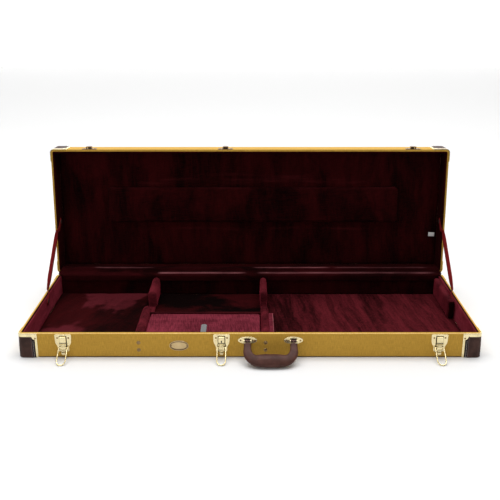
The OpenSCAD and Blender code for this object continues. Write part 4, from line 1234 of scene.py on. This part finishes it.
def clothTag():
    # a blank folded tag sewn to the lid's plush, its free edge curling out
    lo, hi = closedBox("cloth_tag")
    x, y = np.meshgrid(np.linspace(lo.x, hi.x, 9), np.linspace(lo.y, hi.y, 7), indexing="ij")
    curl = ((x - lo.x) / (hi.x - lo.x)) ** 2 * 1.2 * mm + 0.2 * mm * np.sin((y - lo.y) * 500)
    top = np.stack([x, y, hi.z - 0.5 * mm - curl], 2)
    uv = np.stack([x, y], 2)
    skin = Skin()
    upper = skin.grid(openLid(top), uv=uv)
    lower = skin.grid(openLid(top - np.array([0, 0, 0.45 * mm])), uv=uv, flip=True)
    skin.joinRims(upper, lower, lambda at: at[..., :2])
    piece = skin.make("clothTag", tagCloth)
    settle(piece, "lid", "tag_cloth", "cloth_tag")


clothTag()
print("cloth strips ready")


# Corners
cornerShape = dict(front=37 * mm, side=27 * mm, strip=4.7 * mm, band=8.5 * mm, scallop=7 * mm,
                   leather=1.4 * mm, bottom=0.3 * mm,
                   brassOut=1.8 * mm, fold=7.4 * mm, seamIn=4.3 * mm, edge=1.1 * mm,
                   stitch=2.6 * mm, gap=1.3 * mm, crease=12 * mm, belly=1.3 * mm)
straightFront = cornerShape["front"] - cornerR
straightSide = cornerShape["side"] - cornerR
bend = math.pi / 2 * cornerR


def wrap(u, z, out, sx, sy):
    # distance u along the case's outside, from the leather's front edge round the corner, and out from it
    a = np.clip((u - straightFront) / cornerR, 0, math.pi / 2)
    x = halfX - cornerShape["front"] + np.minimum(u, straightFront) + np.sin(a) * (cornerR + out)
    y = -halfY - out + (1 - np.cos(a)) * (cornerR + out) + np.maximum(0, u - straightFront - bend)
    return np.stack(np.broadcast_arrays(sx * x, sy * y, z), -1)


def cornerColumns():
    # distances round the corner, closer together where the fold, the seam and the crease are
    total = straightFront + bend + straightSide
    near = np.array([0, 0.8, 1.7, 2.6, 3.4, 4.3, 5.2, 6.0, 6.8, 7.4, 8.0, 8.5, 9.3, 10.5, 11.2, 12.0, 12.8,
                     13.6]) * mm
    a = np.concatenate([near, np.linspace(16 * mm, straightFront, 5)])
    b = straightFront + np.linspace(0, bend, 10)[1:]
    c = (total - near)[::-1]
    c = c[c > straightFront + bend + 0.5 * mm]
    return np.concatenate([a, b, c]), total


def cornerPieces(body, high, place):
    # leather wraps with a folded, stitched hem at both ends, brass strips beside them and a band at the rim
    s = cornerShape
    bottom = s["bottom"]
    leather, metal, stitches = Skin(), Skin(), Skin()
    for sx in (-1, 1):
        for sy in (-1, 1):
            ySign = -sy        # y drawn at the front is mirrored for the back
            flip = sx * ySign < 0
            u, total = cornerColumns()
            z = np.concatenate([[0, 0.5 * mm, 1.2 * mm], np.linspace(3 * mm, high - s["band"] - 0.5 * mm, 14),
                                [high - s["band"] + 2 * mm]])
            z = np.clip(z, bottom, None)
            foot = 0.7 + 0.3 * smoothStep((z - bottom) / (1.0 * mm))
            lift = ((s["leather"] + s["belly"] * (1 - z / high)) * foot)[None]
            crease = np.exp(-((u - s["crease"]) / (0.8 * mm)) ** 2)[:, None]
            crease = crease + np.exp(-((total - s["crease"] * 0.8 - u) / (0.8 * mm)) ** 2)[:, None]
            groove = np.exp(-((u - s["seamIn"]) / (0.7 * mm)) ** 2)[:, None]
            groove = groove + np.exp(-((total - s["seamIn"] - u) / (0.7 * mm)) ** 2)[:, None]
            puff = 0.22 * mm * softWaves(u[:, None], z[None], 0.03, 7 + sx + 2 * sy)
            fromEnd = np.minimum(u, total - u)
            hem = np.exp(-((fromEnd - s["fold"] - s["edge"]) / (1.2 * mm)) ** 2)[:, None]
            fold = smoothStep((s["fold"] - fromEnd) / (0.8 * mm))[:, None]
            out = lift + puff - 0.3 * mm * crease + 0.3 * mm * hem - 0.9 * mm * fold - 0.2 * mm * groove
            uu = np.broadcast_to(u[:, None], out.shape)
            outer = wrap(uu, z[None], np.clip(out, 0.5 * mm, None), sx, ySign)
            inner = wrap(uu, z[None], 0.05 * mm, sx, ySign)
            loop = np.concatenate([outer, inner[:, ::-1]], 1)
            middleU = (fromEnd[1:] + fromEnd[:-1]) / 2
            part = (middleU < s["fold"]) + 2 * ((middleU > s["fold"]) & (middleU < s["fold"] + s["edge"]))
            ids = leather.grid(place(loop), closedV=True, flip=flip, mark=part.astype(int))
            leather.cap(ids[0], flip=flip)
            leather.cap(ids[-1], flip=not flip)
            # stitches: short rounded rods, end to end, beside each brass strip
            pitch = s["stitch"] + s["gap"]
            for at in (s["seamIn"], total - s["seamIn"]):
                for k in range(int((high - s["band"] - s["scallop"] - 4 * mm - bottom) / pitch)):
                    z0 = bottom + 2.5 * mm + k * pitch
                    zz = np.linspace(z0, z0 + s["stitch"], 5)
                    arch = s["leather"] + s["belly"] * (1 - zz / high) - 0.75 * mm
                    arch = arch + 0.3 * mm * np.sin(np.linspace(0, np.pi, 5))
                    path = place(wrap(np.full(5, at), zz, arch, sx, ySign))
                    tube(stitches, path, 0.42 * mm, 6, across=(0.3, 0.8, 0.52))
            # brass: full-height strips at both ends joined by a band along the rim, scalloped where they meet
            whole = total + 2 * s["strip"]
            v = np.concatenate([np.linspace(0, s["strip"], 5), s["strip"] + 0.02 * mm + s["scallop"] *
                                (1 - np.cos(np.linspace(0, np.pi / 2, 8))),
                                np.linspace(s["strip"] + s["scallop"] + 2 * mm, whole / 2, 12)])
            roundPart = s["strip"] + straightFront + np.linspace(0, bend, 9)
            v = np.unique(np.concatenate([v, whole - v, roundPart]))
            fromEnd = np.minimum(v, whole - v)
            t = np.clip((fromEnd - s["strip"]) / s["scallop"], 0, 1)
            inBand = fromEnd > s["strip"] + 1e-6
            drop = s["band"] + s["scallop"] * np.sqrt(np.clip(1 - t * t, 0, 1)) * inBand
            low = np.maximum(np.where(inBand, high - drop, bottom), bottom)
            end = smoothStep(fromEnd / (0.7 * mm))
            full = s["brassOut"] * (0.5 + 0.5 * end)
            rim = 0 * v + high - 0.05 * mm
            prof = [(low, 0 * v), (low, s["brassOut"] * 0.55 * (0.4 + 0.6 * end)), (low + 0.25 * mm, full),
                    (low + 0.9 * mm, full), (rim - 0.8 * mm, full), (rim - 0.2 * mm, full * 0.85),
                    (rim, 0 * v + s["brassOut"] * 0.45), (rim, 0 * v)]
            q = np.stack([wrap(v - s["strip"], zz, oo, sx, ySign) for zz, oo in prof], 1)
            ids = metal.grid(place(q), closedV=True, flip=not flip)
            metal.cap(ids[0], flip=not flip)
            metal.cap(ids[-1], flip=flip)
    leathers = leather.make(body + "CornerLeathers", cornerLeather, foldLeather, edgeLeather)
    bands = metal.make(body + "CornerBrass", brass)
    settle(leathers, body, "corner_leather", body + "_corner_leathers")
    settle(bands, body, "brass", body + "_corner_bands")
    settle(stitches.make(body + "CornerStitches", thread), body, "corner_leather")
    finishShade(bands, 40)


cornerPieces("tray", rimZ, asDrawn)
cornerPieces("lid", lidHeight, upturned(lidHi.z))
print("corners ready")


# Latches
latchShape = dict(plate=1.2 * mm, pinOut=4 * mm, barrel=2.9 * mm, barrelLong=9.4 * mm, lugThick=2.5 * mm,
                  lugMiddle=6.25 * mm, wire=1.4 * mm, bailStub=3.6 * mm, bailTurn=1.6 * mm)
# pressed parts in millimetres: width, height, corner, height of the middle, from, to, edge, crown; then the
# finish's number and the points of each arc
latchOpening = (17.2, 17.6, 1.4, 12.2, 0.4, 1.33, 0.1, 0, 1, 6)
latchHood = (14.6, 17.2, 1.6, 11.6, 1.0, 6.0, 1.5, 0.35, 0, 6)
latchJoint = (15.0, 1.4, 0.3, 5.6, 2.0, 6.55, 0.1, 0, 1, 4)
latchRoll = (14.9, 1.6, 0.7, 4.2, 2.0, 6.5, 0.5, 0, 0, 4)
latchHollow = (18.0, 21.5, 1.5, -7.2, 0.4, 1.32, 0.1, 0, 1, 5)
leverWaist = (9.0, 5.0, 1.2, -2.0, 2.2, 6.1, 1.2, 0, 0, 5)
leverGroove = (11.4, 0.7, 0.3, -10.9, 5.0, 7.3, 0.1, 0, 1, 4)
leverRib = (13.2, 1.2, 0.5, -12.9, 5.0, 7.15, 0.4, 0, 0, 4)
leverTongue = (6.6, 6.0, 1.0, -16.8, 5.6, 7.1, 0.5, 0, 0, 5)
latchNames = ("left", "middle", "right")
shieldCorners = [(-12.7, -17.8, 3), (12.7, -17.8, 3), (13.0, -6.0, 5), (17.4, 2.6, 5), (18.2, 8.0, 8),
                 (19, 24.6, 2.2), (-19, 24.6, 2.2), (-18.2, 8.0, 8), (-17.4, 2.6, 5), (-13.0, -6.0, 5)]


def pressPart(skin, part, place):
    w, h, corner, cy, z0, z1, edge, crown = (value * mm for value in part[:8])
    pressed(skin, rectOutline(w, h, corner, part[9], cy=cy), z0, z1, edge, place, mark=part[8], crown=crown)


def inMm(corners):
    return [tuple(value * mm for value in corner) for corner in corners]


def acrossPlace(place, x):
    # drawn in the plane across the case's length, carried along X from x
    return lambda p: place(np.stack([x + p[..., 2], p[..., 0], p[..., 1]], -1))


def latchPieces(name):
    shape = latchShape
    pivot = Vector(jointOf["lever_" + name + "_pivot"]["pos_m"])
    place = frontPlace(pivot.x, pivot.z)
    skin = Skin()
    pressed(skin, dense(roundedOutline(inMm(shieldCorners), 6), 6 * mm), 0.0, shape["plate"], 0.5 * mm, place)
    # the plate's opening painted dark as shade, the hood that stands in it over the lever's pivot, a joint
    # line painted dark as shade, a rolled edge
    for part in (latchOpening, latchHood, latchJoint, latchRoll):
        pressPart(skin, part, place)
    lug = roundedOutline(inMm([(-2.4, 0.4, 0.3), (3.4, 0.4, 0.3), (3.4, 4.6, 0.9), (1.6, 6.4, 1.4),
                               (-2.4, 6.4, 2.3)]), 6)
    for side in (-1, 1):
        lugPlace = acrossPlace(place, side * shape["lugMiddle"] - shape["lugThick"] / 2)
        pressed(skin, lug, 0.0, shape["lugThick"], 0.4 * mm, lugPlace, lower=0.4 * mm)
    # the hollow under the lever, painted dark as shade
    pressPart(skin, latchHollow, place)
    base = skin.make("latchBase_" + name, brass, darkSlot)
    finishShade(base, 45)
    settle(base, "tray", "brass", "latch_base_" + name)

    # lever: a pressed block with a waist, a rolled barrel round its pin, a groove painted dark as shade, a
    # rib, a tongue and a tip
    skin = Skin()
    block = roundedOutline(inMm([(-7, -15, 1.6), (7, -15, 1.6), (7, -3, 1.2), (-7, -3, 1.2)]), 6)
    pressed(skin, block, 1.7 * mm, 6.9 * mm, 1.3 * mm, place, crown=0.3 * mm)
    pressPart(skin, leverWaist, place)
    barrel = arc(0, shape["pinOut"], shape["barrel"], 0, 360, 25)[:-1]
    pressed(skin, barrel, 0.0, shape["barrelLong"], 0.3 * mm, acrossPlace(place, -shape["barrelLong"] / 2),
            lower=0.3 * mm)
    for part in (leverGroove, leverRib, leverTongue):
        pressPart(skin, part, place)
    tip = ovalOutline(8.9 * mm, 8.9 * mm, 2.0, 32, cy=-19.5 * mm)
    pressed(skin, tip, 5.6 * mm, 7.1 * mm, 0.6 * mm, place)
    dimple = ovalOutline(5.0 * mm, 5.0 * mm, 2.0, 24, cy=-19.5 * mm)
    pressed(skin, dimple, 6.6 * mm, 7.2 * mm, 0.35 * mm, place)
    lever = skin.make("latchLever_" + name, brass, darkSlot)
    finishShade(lever, 45)
    settle(lever, "lever_" + name, "brass", "lever_" + name)

    if name == "middle":
        # the keyhole in the lock's face: a round hole over a tapering slot, a plug painted dark as the hole's
        # shade
        lockLo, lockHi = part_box("lock_cylinder")
        face = frontPlace((lockLo.x + lockHi.x) / 2, (lockLo.z + lockHi.z) / 2)
        out = -halfY - lockLo.y
        skin = Skin()
        hole = np.concatenate([arc(0, 0.9 * mm, 1.6 * mm, -50, 230, 22),
                               [(-1.2 * mm, -2.6 * mm), (1.2 * mm, -2.6 * mm)]])
        pressed(skin, hole, out - 0.8 * mm, out + 0.15 * mm, 0.05 * mm, face)
        settle(skin.make("keyhole", darkSlot), "lock", "steel")

    # bail: wire loop that leans out to the floor, its ends turned in to the lever
    bailLo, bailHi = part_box("bail_" + name)
    bailPivot = Vector(jointOf["bail_" + name + "_pivot"]["pos_m"])
    wire, stub, turn = shape["wire"], shape["bailStub"], shape["bailTurn"]
    halfW = (bailHi.x - bailLo.x) / 2 - wire
    dropY, dropZ = bailPivot.y - (bailLo.y + wire), bailPivot.z - (bailLo.z + wire)
    reach, lean = math.hypot(dropY, dropZ), math.atan2(dropY, dropZ)
    one = np.concatenate([[(-halfW + stub + turn, 0)], arc(-halfW + turn, -turn, turn, 90, 180, 6)])
    loop = arc(0, halfW - reach, halfW, 180, 360, 25)
    two = np.concatenate([arc(halfW - turn, -turn, turn, 0, 90, 6), [(halfW - stub - turn, 0)]])
    flat = np.concatenate([one, loop, two])
    path = np.stack([bailPivot.x + flat[:, 0], bailPivot.y + flat[:, 1] * math.sin(lean),
                     bailPivot.z + flat[:, 1] * math.cos(lean)], 1)
    skin = Skin()
    tube(skin, path, wire, 14, across=(0, math.cos(lean), -math.sin(lean)))
    settle(skin.make("latchBail_" + name, brass), "bail_" + name, "brass", "bail_" + name)


for latchName in latchNames:
    latchPieces(latchName)


catchShape = dict(width=38 * mm, height=17 * mm, hookRadius=7.4 * mm, hookFoot=2.2 * mm, hookUnder=7.5 * mm,
                  hookMost=11.0 * mm)


def catchPieces():
    # striker plates on the lid's front, each with a hooked lip on two side walls and a bar
    s = catchShape
    hookR = s["hookRadius"]
    hookY = min(closedBox("catches")[1].z - lidLo.z - s["hookUnder"], s["hookMost"])
    lip = np.concatenate([arc(0, hookY, hookR, 0, 180, 17),
                          [(-hookR, s["hookFoot"]), (hookR, s["hookFoot"])]])
    skin = Skin()
    for name in latchNames:
        x = jointOf["lever_" + name + "_pivot"]["pos_m"][0]
        place = inOpenLid(frontPlace(x, lidLo.z))
        plate = rectOutline(s["width"], s["height"], 3 * mm, 6, cy=10 * mm)
        pressed(skin, plate, 0, 1.2 * mm, 0.5 * mm, place)
        pressed(skin, dense(lip, 3 * mm), 5.9 * mm, 7.3 * mm, 0.6 * mm, place, lower=0.4 * mm)
        for side in (-1, 1):
            wall = rectOutline(1.8 * mm, 8 * mm, 0.7 * mm, 4, side * 6.3 * mm, 6.4 * mm)
            pressed(skin, wall, 0.8 * mm, 6.6 * mm, 0.3 * mm, place)
        bar = rectOutline(11 * mm, 1.6 * mm, 0.6 * mm, 4, cy=hookY + hookR - 1.5 * mm)
        pressed(skin, bar, 0.8 * mm, 6.4 * mm, 0.3 * mm, place)
    # the catch plates are painted dark as the shade they lie in
    piece = skin.make("catchPlates", agedBrass)
    finishShade(piece, 45)
    settle(piece, "lid", "brass", "catches")


catchPieces()
print("latches ready")


# Handle
handleShape = dict(legHalf=9 * mm, coreHalf=2.5 * mm, inward=6.3 * mm, turn=24 * mm, legStart=5.3 * mm,
                   plateHalf=21.5 * mm, plateHigh=17.8 * mm, lugThick=2.2 * mm, lugMiddle=7.7 * mm)


def handlePieces():
    shape = handleShape
    pivot = Vector(jointOf["handle_pivot"]["pos_m"])
    gripLo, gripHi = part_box("handle_grip")
    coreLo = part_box("handle_core")[0]
    halfSpan = (gripHi.x - gripLo.x) / 2 - shape["legHalf"]
    cx = (gripLo.x + gripHi.x) / 2
    # the lean follows from the steel core's lowest point
    dropY, dropZ = pivot.y - (coreLo.y + shape["coreHalf"]), pivot.z - (coreLo.z + shape["coreHalf"])
    lean = math.atan2(dropY, dropZ)
    # the middle swells inwards, so its centre line lies a little nearer the pins than the steel's
    reach = math.hypot(dropY, dropZ) - shape["inward"]
    turn = shape["turn"]
    left = np.stack([np.full(9, -halfSpan), -np.linspace(shape["legStart"], reach - turn, 9)], 1)
    curve = arc(-halfSpan + turn, -reach + turn, turn, 180, 270, 14)[1:]
    across = np.stack([np.linspace(-halfSpan + turn, halfSpan - turn, 20)[1:-1], np.full(18, -reach)], 1)
    line = np.concatenate([left, curve, across])
    mirrorLine = line[::-1] * np.array([-1, 1])
    line = np.concatenate([line, mirrorLine[mirrorLine[:, 0] > across[-1, 0] + 1e-6]])
    s = runLengths(line)
    even = np.linspace(0, s[-1], 120)
    line = eased(spaced(line, s, even), 6)
    share = abs(even / s[-1] - 0.5) * 2              # 0 at the middle, 1 at the ends
    middle = smoothStep((0.62 - share) / 0.5)
    bendPart = smoothStep((0.95 - share) / 0.4)
    wide = (8.1 + 2.7 * bendPart + 4.4 * middle) * mm     # half width in the handle's plane
    deep = (4.7 + 1.7 * bendPart + 3.8 * middle) * mm     # half thickness
    ease = np.clip((1 - share) / 0.028, 0, 1)
    shrink = 0.55 + 0.45 * np.sqrt(ease * (2 - ease))
    wide, deep = wide * shrink, deep * shrink
    t = headings(line)
    nrm = np.stack([-t[:, 1], t[:, 0]], 1)
    a = np.linspace(0, 2 * np.pi, 36, endpoint=False)
    # superelliptic section, squarer at the legs and round at the grip
    power = (2.0 + 1.1 * (1 - middle))[:, None]
    ca, sa = np.cos(a)[None], np.sin(a)[None]
    ex = np.sign(ca) * abs(ca) ** (2 / power) * wide[:, None]
    ez = np.sign(sa) * abs(sa) ** (2 / power) * deep[:, None]
    flat = np.stack([line[:, None, 0] + nrm[:, None, 0] * ex, line[:, None, 1] + nrm[:, None, 1] * ex, ez], 2)

    def lay(q):
        # across, along and out of the handle's plane, leaned out from the front about the pins
        up = q[..., 1] * math.cos(lean) + q[..., 2] * math.sin(lean)
        out = -q[..., 1] * math.sin(lean) + q[..., 2] * math.cos(lean)
        return np.stack([q[..., 0] + cx, pivot.y - out, pivot.z + up], -1)

    skin = Skin()
    ids = skin.grid(lay(flat), closedV=True)
    skin.cap(ids[0], flip=True)
    skin.cap(ids[-1])
    settle(skin.make("handleGrip", handleLeather), "handle", "handle_leather", "handle_grip")

    # plates: an oval ring round a slot filled with a piece painted dark as shade, with two lugs that hold the
    # pin
    skin, slots = Skin(), Skin()
    plateLo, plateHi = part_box("handle_plates")
    half = (plateHi.x - plateLo.x) / 2 - shape["plateHalf"]
    outerLine = ovalOutline(2 * shape["plateHalf"], shape["plateHigh"], 2.15, 72)
    slotLine = ovalOutline(16.6 * mm, 8.6 * mm, 3.4, 72, cy=0.9 * mm)
    # the ring's section: outline, outwards and up in millimetres
    rows = [(outerLine, 0, 0.0), (outerLine, 0, 0.6), (outerLine, -0.35, 1.05), (outerLine, -0.9, 1.2),
            (outerLine, -2.6, 1.2), (slotLine, 1.6, 1.45), (slotLine, 0.7, 1.9), (slotLine, 0.15, 1.9),
            (slotLine, -0.1, 1.5), (slotLine, -0.1, 0.2)]
    ring = np.stack([np.concatenate([o + outward(o) * d * mm, np.full((len(o), 1), h * mm)], 1)
                     for o, d, h in rows], 1)
    lug = roundedOutline(inMm([(-3.4, 0.3, 0.3), (3.4, 0.3, 0.3), (3.4, 7.9, 3.2), (-3.4, 7.9, 3.2)]), 8)
    for sx in (-1, 1):
        place = frontPlace(cx + sx * half, pivot.z)
        skin.grid(place(ring), closedU=True)
        pressed(slots, ovalOutline(16.8 * mm, 8.8 * mm, 3.4, 48, cy=0.9 * mm), 0.0, 1.0 * mm, 0.1 * mm, place)
        for e in (-1, 1):
            lugPlace = acrossPlace(place, e * shape["lugMiddle"] - shape["lugThick"] / 2)
            pressed(skin, lug, 0.0, shape["lugThick"], 0.45 * mm, lugPlace, lower=0.45 * mm)
    plates = skin.make("handlePlates", brass)
    finishShade(plates, 45)
    settle(plates, "tray", "brass", "handle_plates")
    settle(slots.make("handleSlots", darkSlot), "tray", "steel")


handlePieces()


# Badge
def badgePiece():
    # a blank oval plate: rolled border, shallow field and one fine inner line
    lo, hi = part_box("badge")
    outer = ovalOutline(hi.x - lo.x, hi.z - lo.z, 2.15, 96)
    # its section: outwards and up in millimetres
    rows = [(0, 0.0), (0, 0.7), (-0.25, 1.15), (-0.8, 1.4), (-1.5, 1.35), (-2.0, 0.95), (-2.6, 0.85),
            (-3.3, 0.85), (-3.5, 1.05), (-3.8, 1.05), (-4.0, 0.85), (-6.5, 0.88), (-9.0, 0.92)]
    p = carried((outer, outward(outer)), np.array(rows) * mm)
    skin = Skin()
    place = frontPlace((lo.x + hi.x) / 2, (lo.z + hi.z) / 2)
    tones = np.zeros(len(rows) - 1, int)
    tones[4:7] = tones[9:10] = 1
    ids = skin.grid(place(p), closedU=True, mark=np.tile(tones, len(outer)))
    skin.cap(ids[:, 0], flip=True)
    skin.cap(ids[:, -1])
    piece = skin.make("badgePlate", badgeMetal, agedBrass)
    finishShade(piece, 50)
    settle(piece, "tray", "brass", "badge")


badgeMetal = makeMetal("badgeMetal", (0.60, 0.45, 0.24, 1), (0.46, 0.33, 0.16, 1), 0.36)
badgePiece()


# Hinges
hingeShape = dict(width=50 * mm, knuckle=16.4 * mm, knuckleStep=16.8 * mm, leaf=1.4 * mm, corner=2.5 * mm,
                  inner=0.5 * mm, outR=3.2 * mm, clear=1.0 * mm)


def hingePieces():
    # pressed leaves with rolled knuckles on one line behind the rims
    s = hingeShape
    lo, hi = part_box("hinge_tray_leaves")
    half, knuckle, outR = s["width"] / 2, s["knuckle"], s["outR"]
    trayLeaves, lidLeaves = Skin(), Skin()
    lidTop = closedBox("hinge_lid_leaves")[1].z

    def rolled(skin, x0, x1, place):
        # a knuckle: a ring carried along X with turned edges
        n = 28
        a = np.linspace(0, 2 * np.pi, n, endpoint=False)
        rows = [(x0, outR - 0.4 * mm), (x0 + 0.3 * mm, outR), (x1 - 0.3 * mm, outR), (x1, outR - 0.4 * mm)]
        p = np.stack([np.stack([np.full(n, x), hinge.y + r * np.cos(a), hinge.z + r * np.sin(a)], 1)
                      for x, r in rows], 1)
        ids = skin.grid(place(p), closedU=True, flip=True)
        skin.cap(ids[:, 0])
        skin.cap(ids[:, -1], flip=True)

    def plate(z0, z1, lowCorner, highCorner):
        return roundedOutline([(-half, z0, lowCorner), (half, z0, lowCorner), (half, z1, highCorner),
                               (-half, z1, highCorner)], 6)

    for x in (lo.x + half, (lo.x + hi.x) / 2, hi.x - half):
        place = lambda p, x=x: np.stack([x - p[..., 0], halfY + p[..., 2], p[..., 1]], -1)
        pressed(trayLeaves, plate(lo.z, hinge.z - s["clear"], s["corner"], s["inner"]), 0.0, s["leaf"],
                0.35 * mm, place)
        pressed(lidLeaves, plate(hinge.z + s["clear"], lidTop, s["inner"], s["corner"]), 0.0, s["leaf"],
                0.35 * mm, inOpenLid(place))
        for sx in (-1, 1):
            middle = x + sx * s["knuckleStep"]
            rolled(trayLeaves, middle - knuckle / 2, middle + knuckle / 2, asDrawn)
        rolled(lidLeaves, x - knuckle / 2, x + knuckle / 2, openLid)
    for skin, name, body, node in ((trayLeaves, "hingeTrayLeaves", "tray", "hinge_tray_leaves"),
                                   (lidLeaves, "hingeLidLeaves", "lid", "hinge_lid_leaves")):
        piece = skin.make(name, brass)
        finishShade(piece, 45)
        settle(piece, body, "brass", node)


hingePieces()
print("fittings ready")

# Room, lights and camera
roomShape = dict(floorHalf=14.0, backLight=1.0, frontLight=0.12, keyPower=150.0, keySize=(4.6, 2.6),
                 keyAt=(0.0, 0.3, 4.2), frontPower=11.5, floorTone=0.71, wallTone=0.80, wallGlow=1.5,
                 wallAt=6.0, wallHigh=5.0)
studio = Skin()
low, high = -roomShape["floorHalf"], roomShape["floorHalf"]
back, top = roomShape["wallAt"], roomShape["wallHigh"]
studio.grid(np.array([[[low, low, 0], [low, back, 0]], [[high, low, 0], [high, back, 0]]]))
studio.grid(np.array([[[low, back, 0], [low, back, top]], [[high, back, 0], [high, back, top]]]), mark=1)
floorPaint = newFinish("floorPaint", Roughness=0.9, Base_Color=(roomShape["floorTone"],) * 3 + (1,),
                       Specular_IOR_Level=0.1)[0]
wallPaint = newFinish("wallPaint", Roughness=0.9, Base_Color=(roomShape["wallTone"],) * 3 + (1,),
                      Specular_IOR_Level=0.1, Emission_Color=(1, 1, 1, 1),
                      Emission_Strength=roomShape["wallGlow"])[0]
studioFloor = studio.make("studioFloor", floorPaint, wallPaint, smooth=False)

# the room: bright behind and above, dim on the viewer's side
world = bpy.data.worlds.new("softRoom")
scene.world = world
world.use_nodes = True
sky = world.node_tree
direction = sky.nodes.new("ShaderNodeTexCoord").outputs["Generated"]
toward = addNode(sky, "ShaderNodeSeparateXYZ", {0: direction}).outputs
bright = rangeOf(sky, calc(sky, "ADD", toward[1], calc(sky, "MULTIPLY", toward[2], 0.9)), -0.35, 0.75,
                 roomShape["frontLight"], roomShape["backLight"])
sky.links.new(bright, sky.nodes["Background"].inputs["Strength"])
sky.nodes["Background"].inputs["Color"].default_value = (1.0, 1.0, 1.0, 1)


def areaLight(name, at, aim, size, power):
    data = bpy.data.lights.new(name, "AREA")
    data.shape, data.size, data.size_y, data.energy = "RECTANGLE", size[0], size[1], power
    light = bpy.data.objects.new(name, data)
    light.location = at
    light.rotation_euler = (Vector(aim) - Vector(at)).to_track_quat("-Z", "Y").to_euler()
    scene.collection.objects.link(light)


areaLight("topSoftbox", roomShape["keyAt"], (0, 0, 0), roomShape["keySize"], roomShape["keyPower"])
areaLight("frontSoftbox", (-0.6, -2.4, 1.5), (0, 0, 0.1), (1.8, 1.2), roomShape["frontPower"])

# the view that the case is shown from: straight on, looking down a little
cameraShape = dict(focal=691.6 / 500 * 36, at=(0.0, -1.5620, 0.7967), down=16.934, shift=-0.1)
cameraData = bpy.data.cameras.new("camera")
cameraData.lens, cameraData.sensor_width = cameraShape["focal"], 36
cameraData.shift_y = cameraShape["shift"]
camera = bpy.data.objects.new("camera", cameraData)
camera.location = cameraShape["at"]
camera.rotation_euler = (math.radians(90 - cameraShape["down"]), 0, 0)
scene.collection.objects.link(camera)
scene.camera = camera
scene.view_settings.view_transform = "Standard"

bpy.context.view_layer.update()
